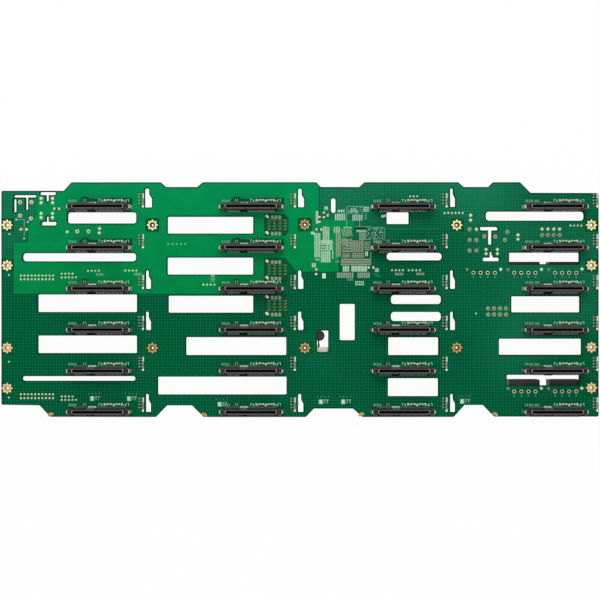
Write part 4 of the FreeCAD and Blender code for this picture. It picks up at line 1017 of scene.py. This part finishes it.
# Pads and strips by finish, most of them beside the controller: left, right, upper, lower, how many,
# which way they stand side by side and the share of the pitch that each takes.
STRIPS = {
    "mint_tin": [
        (334.6, 345.3, 213.7, 220.3, 6, "x", 0.72), (352.2, 362, 214.5, 220.7, 6, "x", 0.6),
        (350.3, 357, 208.3, 212.5, 4, "x", 0.6), (333.4, 340.3, 226.8, 232.9, 3, "x", 0.6),
        (356.3, 366, 229.8, 232.2, 2, "y", 0.6), (342.6, 349.5, 265.9, 271.6, 3, "x", 0.8),
        (351.2, 367.1, 265.9, 271.6, 5, "x", 0.92), (355, 364.2, 283.7, 285.2, 3, "x", 0.85),
        (314.2, 320.4, 233, 257.4, 4, "x", 0.74), (320.7, 332.8, 240, 250.3, 3, "y", 0.94),
        (322.6, 329.6, 226.8, 240, 4, "x", 0.72), (320.8, 330.6, 250.9, 262.4, 5, "x", 0.82),
        (311.8, 315.9, 263.1, 267.3, 2, "x", 0.85), (315.8, 318.2, 211, 223.8, 1, "x", 1.0),
        (324.2, 328.1, 206.4, 210, 2, "x", 0.8), (326.4, 328.8, 213.8, 216.7, 1, "x", 0.9),
        (375.1, 378.8, 268.1, 272, 2, "x", 0.85),
    ],
    "mint_print": [
        (363.6, 369, 206.8, 212.1, 3, "y", 0.55), (343, 352, 226.9, 228.4, 3, "x", 0.6),
        (355, 364.2, 281.1, 283, 5, "x", 0.6), (315, 320, 258.8, 260.4, 2, "y", 0.6),
        (332.3, 333.1, 240, 259, 1, "x", 1.0), (310.8, 314.6, 231.7, 234.4, 1, "x", 0.9),
        (210.8, 214.8, 274.6, 276.6, 2, "x", 0.6),
    ],
    "bright_mint": [
        (338, 345, 209.6, 212.4, 3, "x", 0.5), (365, 368, 251.4, 256, 2, "x", 0.6),
        (322.1, 325.9, 273.3, 278.4, 1, "x", 0.9),
    ],
    "tan_strip": [
        (335.6, 341, 233.2, 256.6, 3, "x", 0.62), (341.6, 351.9, 238.4, 252.2, 9, "y", 0.6),
        (352.2, 363.6, 240.4, 252.5, 7, "x", 0.58), (342, 349.9, 252.9, 257.8, 3, "y", 0.56),
        (351.5, 363.9, 252.9, 257.8, 3, "y", 0.56),
    ],
    "grey_pad": [
        (359, 366.2, 232.3, 240.2, 5, "y", 0.6), (364.4, 370.4, 241.4, 250.4, 5, "y", 0.5),
        (340.9, 370.8, 258.3, 265.7, 3, "y", 0.44), (336.6, 353.6, 272.5, 278, 8, "x", 0.72),
        (357.3, 370, 272.5, 278, 6, "x", 0.76), (376.2, 382, 240.6, 243.6, 3, "x", 0.8),
        (394.6, 403.6, 272.6, 275.4, 4, "x", 0.7), (416, 424.4, 272.6, 275.2, 4, "x", 0.7),
    ],
    "olive_strip": [
        (340.9, 370.8, 258.7, 265.2, 1, "y", 1.0),
    ],
    "dull_solder": [
        (346.9, 353, 278.2, 280.7, 3, "x", 0.6),
    ],
    "pale_mark": [
        (347.2, 366.6, 206.2, 206.8, 1, "y", 1.0), (346.4, 347, 207, 227, 1, "x", 1.0),
        (359.3, 359.9, 221, 226.4, 1, "x", 1.0), (353.8, 370.8, 226.3, 226.8, 1, "y", 1.0),
        (384.4, 385, 228, 241, 1, "x", 1.0), (373, 384.8, 227.2, 227.7, 1, "y", 1.0),
        (370.4, 371, 252, 265, 1, "x", 1.0), (366, 366.5, 213, 219, 1, "x", 1.0),
        (95.8, 103.6, 273.4, 275.8, 5, "x", 0.65), (134, 141.6, 273, 275.4, 5, "x", 0.65),
        (210.6, 215, 277.4, 282, 3, "y", 0.5),
    ],
    "mask_dark": [
        (320.6, 326.6, 244.9, 245.8, 1, "y", 1.0), (328, 329.8, 244.9, 245.8, 1, "y", 1.0),
        (320.6, 326.4, 247.7, 248.6, 1, "y", 1.0), (328, 329.8, 247.7, 248.6, 1, "y", 1.0),
        (354.7, 367.4, 227.5, 229.4, 1, "y", 1.0), (342, 346.6, 245, 250.6, 2, "y", 0.34),
        (348.8, 349.9, 237, 251.4, 5, "y", 0.42),
    ],
    "trace_green": [
        (368, 381, 220.8, 226, 3, "y", 0.3), (388, 440, 227.4, 240.6, 5, "y", 0.16),
    ],
}
# Height of the strips that aren't as high as a pad, in pixels.
STRIP_TOPS = {"mask_dark": 0.14, "olive_strip": 0.05, "trace_green": 0.05}
PAD_TOP = 0.1
# Upper left corners of the six small groups of pads near the lower edge.
LOWER_GROUPS = [
    (90.1, 396.3), (126.9, 396.3), (217.6, 401.9), (318.8, 399.5), (341.2, 399.5), (460.1, 399),
]
# Fields of scattered bits of pads: left, right, upper, lower and how full they are.
SCATTERED = [
    (372.4, 384, 228.6, 240.6, 0.62), (366.9, 371.4, 227, 240.8, 0.6), (348.2, 366, 207.6, 214.4, 0.5),
    (362, 366, 214, 221, 0.6), (336, 340, 257.6, 263, 0.5), (323, 329.6, 226.8, 239, 0.25),
]
# How far apart those bits are along a row and down, and where their lottery starts.
BIT_PITCH = (1.5, 1.4)
LOTTERY_START = 11
# Picture places of five slanted strokes.
SLANTS = [(341.8 + 2.1 * number, 232.8) for number in range(5)]
# Small brown parts with pale ends: column, row, whether they lie along a row.
BROWN_PARTS = [
    (319.4, 219.4, False), (323.8, 214.9, False), (318.9, 229.5, True), (316.2, 271.8, False),
    (371, 267.5, True), (56.7, 208.8, True),
]


def controller_field():
    """The dense field of pads, strips and small parts beside the controller chip."""
    piece = Piece()
    for name, strips in STRIPS.items():
        for left, right, upper, lower, count, way, share in strips:
            pitch = (right - left if way == "x" else lower - upper) / count
            middle = pitch * (np.arange(count) + 0.5)
            half = pitch * share / 2
            if way == "x":
                shape = rectangle(-half, half, (upper - lower) / 2, (lower - upper) / 2)
                spots = np.column_stack([left + middle, np.full(count, (upper + lower) / 2)])
            else:
                shape = rectangle((left - right) / 2, (right - left) / 2, -half, half)
                spots = np.column_stack([np.full(count, (left + right) / 2), upper + middle])
            strip = plate(softened(shape, 0.2, 1), 0, STRIP_TOPS.get(name, PAD_TOP))
            piece.add(strip, name, on_board(spots), PIXEL)
    lottery = np.random.default_rng(LOTTERY_START)
    bit = turned_left(softened([(-0.8, -0.5), (-0.3, -0.5), (0.8, 0.5), (0.3, 0.5)], 0.1, 1))
    for left, right, upper, lower, share in SCATTERED:
        across, down = np.arange(left, right, BIT_PITCH[0]), np.arange(upper, lower, BIT_PITCH[1])
        columns, rows = np.meshgrid(across, down)
        grid = np.column_stack([columns.ravel(), rows.ravel()])
        chosen = grid[lottery.random(len(grid)) < share] + lottery.uniform(-0.25, 0.25, (1, 2))
        leaning = lottery.random(len(chosen)) < 0.5
        piece.add(plate(bit, 0, PAD_TOP), "mint_tin", on_board(chosen[leaning]), PIXEL)
        piece.add(plate(mirrored(bit), 0, PAD_TOP), "bright_mint", on_board(chosen[~leaning]), PIXEL)
    slant = turned_left(softened([(-0.5, 3.6), (0.5, 3.6), (2.6, -3.6), (1.6, -3.6)], 0.2, 1))
    piece.add(plate(slant, 0, 0.08), "tan_strip", on_board(SLANTS), PIXEL)
    for column, row, lying in BROWN_PARTS:
        place = on_board([(column, row)])
        chip_part(piece, place, (6.6, 2.4, 0.9), "ceramic_brown", "ceramic_pink", lying)
    piece.make("controller_field", "tinned_metal")


# Half-round earth pads at the lower notches: their radius, then column, row and turn; fine dots;
# printed lines as left, right, upper, lower; the bar and the two joints beside it; the pads of a
# lower group from its corner, with their finish.
HALF_PAD_RADIUS = 3.2
HALF_PADS = [(50.9, 415.6, 0.35), (203.8, 415.9, -0.35), (361.8, 415.6, 0.35), (494.8, 415.4, -0.35)]
DOTS = [
    (9.4, 234), (8.9, 275), (8.9, 361.7), (8.8, 397.6), (16.3, 219.5), (27.9, 222), (24.1, 238.5),
    (66.5, 232), (338.4, 211), (343.4, 211), (476, 313.5),
]
LINES = [(16.7, 25, 219.4, 219.9), (24, 24.6, 220.8, 227.1), (24, 24.6, 231.5, 235.6)]
AMBER_BAR = (23.6, 229.4)
LOBES = [(382.6, 216.3), (384.8, 215.6)]
GROUP_PADS = [
    (0, 4.1, -4.6, 0, "mint_tin"), (4.9, 10.2, -0.7, 0, "grey_pad"), (5.5, 6.5, -3.6, -0.7, "grey_pad"),
    (8.1, 9.1, -3.6, -0.7, "grey_pad"), (1.4, 2.7, -4.2, -0.4, "bright_mint"),
]
GROUP_PADS += [(left, left + 0.9, 2.6, 3.4, "pale_mark") for left in (-1.8, 1.8, 5.4, 9.2)]


def edge_pads():
    """Half-round earth pads at the lower notches, fine marks and the bar between two joints."""
    piece = Piece()
    bearings = np.linspace(0, np.pi, 14)
    half = np.column_stack([np.cos(bearings), np.sin(bearings)]) * HALF_PAD_RADIUS
    for column, row, turn in HALF_PADS:
        c, s = math.cos(turn), math.sin(turn)
        loop = half @ np.array([[c, s], [-s, c]])
        piece.add(plate(loop, 0, 0.07), "tan_gold", on_board([(column, row)]), PIXEL)
    piece.add(dish([(0.95, 0), (0.95, 0.06), (0.7, 0.1)], 12), "mint_print", on_board(DOTS), PIXEL)
    bar = plate(rectangle(-0.8, 0.8, -1.4, 1.4), 0, 0.5, 0.1)
    piece.add(bar, "amber_bar", on_board([AMBER_BAR]), PIXEL)
    for left, right, upper, lower in LINES:
        loop = rectangle((left - right) / 2, (right - left) / 2, (upper - lower) / 2, (lower - upper) / 2)
        middle = on_board([((left + right) / 2, (upper + lower) / 2)])
        piece.add(plate(loop, 0, 0.05), "pale_mark", middle, PIXEL)
    for left, right, low, high, name in GROUP_PADS:
        top = 0.14 if name == "bright_mint" else 0.08
        piece.add(slab(left, right, low, high, 0.3, 1, 0, top), name, on_board(LOWER_GROUPS), PIXEL)
    lobe = dish([(1.5, 0), (1.5, 0.1), (1.1, 0.4), (0.4, 0.5)], 16)
    piece.add(lobe, "bright_mint", on_board(LOBES), PIXEL)
    piece.make("edge_pads", "tinned_metal")


# Outline of the round capacitor's lead where it crosses the window, in picture places, and how far
# behind the board its two sides are, in metres.
LEAD = [(316.6, 336.5), (318.6, 338.6), (319.3, 341.5), (319.9, 346.8), (317.2, 347.9), (318.2, 343.5)]
LEAD_FAR, LEAD_NEAR = 0.0026, 0.0002


def sleeved_lead():
    """The round capacitor's lead, which crosses a corner of the window beside it, behind the board."""
    piece = Piece()
    lead = plate(board_loop(LEAD, 0.8, 3), REAR - LEAD_FAR, REAR - LEAD_NEAR, 0.0004)
    piece.add(lead, "lead_black")
    piece.make("sleeved_lead", "capacitor_sleeve")


# Finishes of the rear parts by the first words of their solids: a name, then as for the drive side.
REAR_FINISHES = {
    "power_header": ("power_header_black", (30, 30, 32), (46, 46, 48), 500, (0.45, 0.6), 0.3),
    "cable_header": ("cable_header_black", (30, 30, 32), (42, 42, 44), 500, (0.45, 0.6), 0.3),
    "data_connector": ("cage_steel_sheet", (186, 190, 194), (160, 164, 170), 600, (0.25, 0.4), 0.5, 0.8),
    "box_header": ("box_header_black", (28, 28, 30), (40, 40, 42), 600, (0.45, 0.6), 0.3),
    "capacitor_bases": ("capacitor_base_black", (24, 24, 26), (36, 36, 38), 700, (0.5, 0.6), 0.3),
    "capacitor": ("capacitor_can_metal", (200, 202, 206), (176, 178, 184), 700, (0.2, 0.35), 0.5, 0.85),
    "nine_pin_header": ("nine_pin_black", (26, 26, 28), (38, 38, 40), 600, (0.45, 0.6), 0.3),
    "header_pins": ("gilt_pin", (220, 186, 96), (196, 158, 70), 900, (0.2, 0.3), 0.5, 0.9),
    "pin_strips": ("strip_cream", (232, 222, 190), (214, 202, 168), 700, (0.5, 0.6), 0.3),
    "choke": ("choke_grey", (74, 74, 78), (92, 92, 96), 900, (0.55, 0.7), 0.2, 0.0, 0.00004),
    "line_fuses": ("fuse_ceramic", (212, 206, 192), (190, 184, 170), 900, (0.4, 0.5), 0.3),
    "controller_chip": ("chip_black", (22, 22, 24), (34, 34, 36), 1200, (0.55, 0.7), 0.2),
    "heat_sink": ("sink_aluminium", (150, 154, 160), (126, 130, 136), 900, (0.3, 0.45), 0.5, 0.8),
    "fan_header": ("fan_header_cream", (240, 242, 222), (222, 222, 198), 700, (0.45, 0.6), 0.4),
    "round_capacitor": ("sleeve_black", (26, 24, 30), (40, 36, 44), 700, (0.3, 0.45), 0.4),
}


def rear_parts():
    """Gives every solid that is still shown the finish that its name begins with."""
    finishes = {key: finish(*numbers) for key, numbers in REAR_FINISHES.items()}
    for name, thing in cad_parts.items():
        if thing.hide_render:
            continue
        key = max((key for key in finishes if name.startswith(key)), key=len)
        thing.data.materials.clear()
        thing.data.materials.append(finishes[key])


def cleared(owner):
    """The emptied node tree of a material or of the sky."""
    owner.use_nodes = True
    owner.node_tree.nodes.clear()
    return owner.node_tree


def seen_by(tree, *rays):
    """One for the named kinds of rays and zero for the others."""
    path = tree.nodes.new("ShaderNodeLightPath")
    seen = path.outputs[rays[0]]
    for name in rays[1:]:
        seen = reckon(tree, "MAXIMUM", seen, path.outputs[name])
    return seen


def put_out(tree, share, first, second, output):
    """Sends first (1 - share) + second share to a new output of the tree."""
    mix = tree.nodes.new("ShaderNodeMixShader")
    fed(tree, mix, {0: share, 1: first.outputs[0], 2: second.outputs[0]})
    fed(tree, tree.nodes.new(output), {0: mix.outputs[0]})


# The key lamp's size, strength and place, in metres and watts.
LAMP_SIZE = (1.0, 0.5)
LAMP_POWER = 4.6
LAMP_PLACE = (-0.1, 0.75, 0.85)
WHITE = (1, 1, 1, 1)


def studio():
    """Floor, sky, lamp and camera: the camera looks straight down at the drive side."""
    scene = bpy.context.scene
    bpy.ops.mesh.primitive_plane_add(size=8, location=(0, 0, 0))
    floor = bpy.context.object
    floor.name = "floor"
    paper = bpy.data.materials.new("floor_paper")
    tree = cleared(paper)
    matte = fed(tree, tree.nodes.new("ShaderNodeBsdfDiffuse"), {"Color": (0.9, 0.9, 0.9, 1)})
    glow = fed(tree, tree.nodes.new("ShaderNodeEmission"), {"Color": WHITE, "Strength": 1.0})
    seen = seen_by(tree, "Is Camera Ray", "Is Glossy Ray")
    put_out(tree, reckon(tree, "MULTIPLY", seen, 0.96), matte, glow, "ShaderNodeOutputMaterial")
    floor.data.materials.append(paper)

    scene.world = bpy.data.worlds.new("studio_sky")
    tree = cleared(scene.world)
    level = fed(tree, tree.nodes.new("ShaderNodeBackground"), {0: WHITE, 1: 0.72})
    white = fed(tree, tree.nodes.new("ShaderNodeBackground"), {0: WHITE, 1: 1.0})
    seen = seen_by(tree, "Is Camera Ray", "Is Glossy Ray", "Is Transmission Ray")
    put_out(tree, seen, level, white, "ShaderNodeOutputWorld")

    lamp = bpy.data.lights.new("key_panel", "AREA")
    lamp.shape = "RECTANGLE"
    lamp.size, lamp.size_y = LAMP_SIZE
    lamp.energy = LAMP_POWER
    panel = bpy.data.objects.new("key_panel", lamp)
    panel.location = LAMP_PLACE
    panel.rotation_euler = (-math.atan2(LAMP_PLACE[1], LAMP_PLACE[2]), 0, 0)
    scene.collection.objects.link(panel)

    lens = bpy.data.cameras.new("overhead_camera")
    lens.sensor_width = SENSOR_WIDTH
    lens.lens = SENSOR_WIDTH * CAMERA_HEIGHT / (PICTURE_SIDE * PIXEL)
    lens.clip_start, lens.clip_end = 0.05, 20
    camera = bpy.data.objects.new("overhead_camera", lens)
    camera.location = (0, (MIDDLE[1] - PICTURE_SIDE / 2) * PIXEL, FACE + CAMERA_HEIGHT)
    scene.collection.objects.link(camera)
    scene.camera = camera
    scene.view_settings.view_transform = "Standard"


circuit_board()
bare_rims()
shade_patches()
screw_pads()
solder_joints()
power_pin_rings()
drive_connectors()
bay_capacitors()
lamp_stacks()
cage_pads()
controller_field()
edge_pads()
sleeved_lead()
rear_parts()
studio()
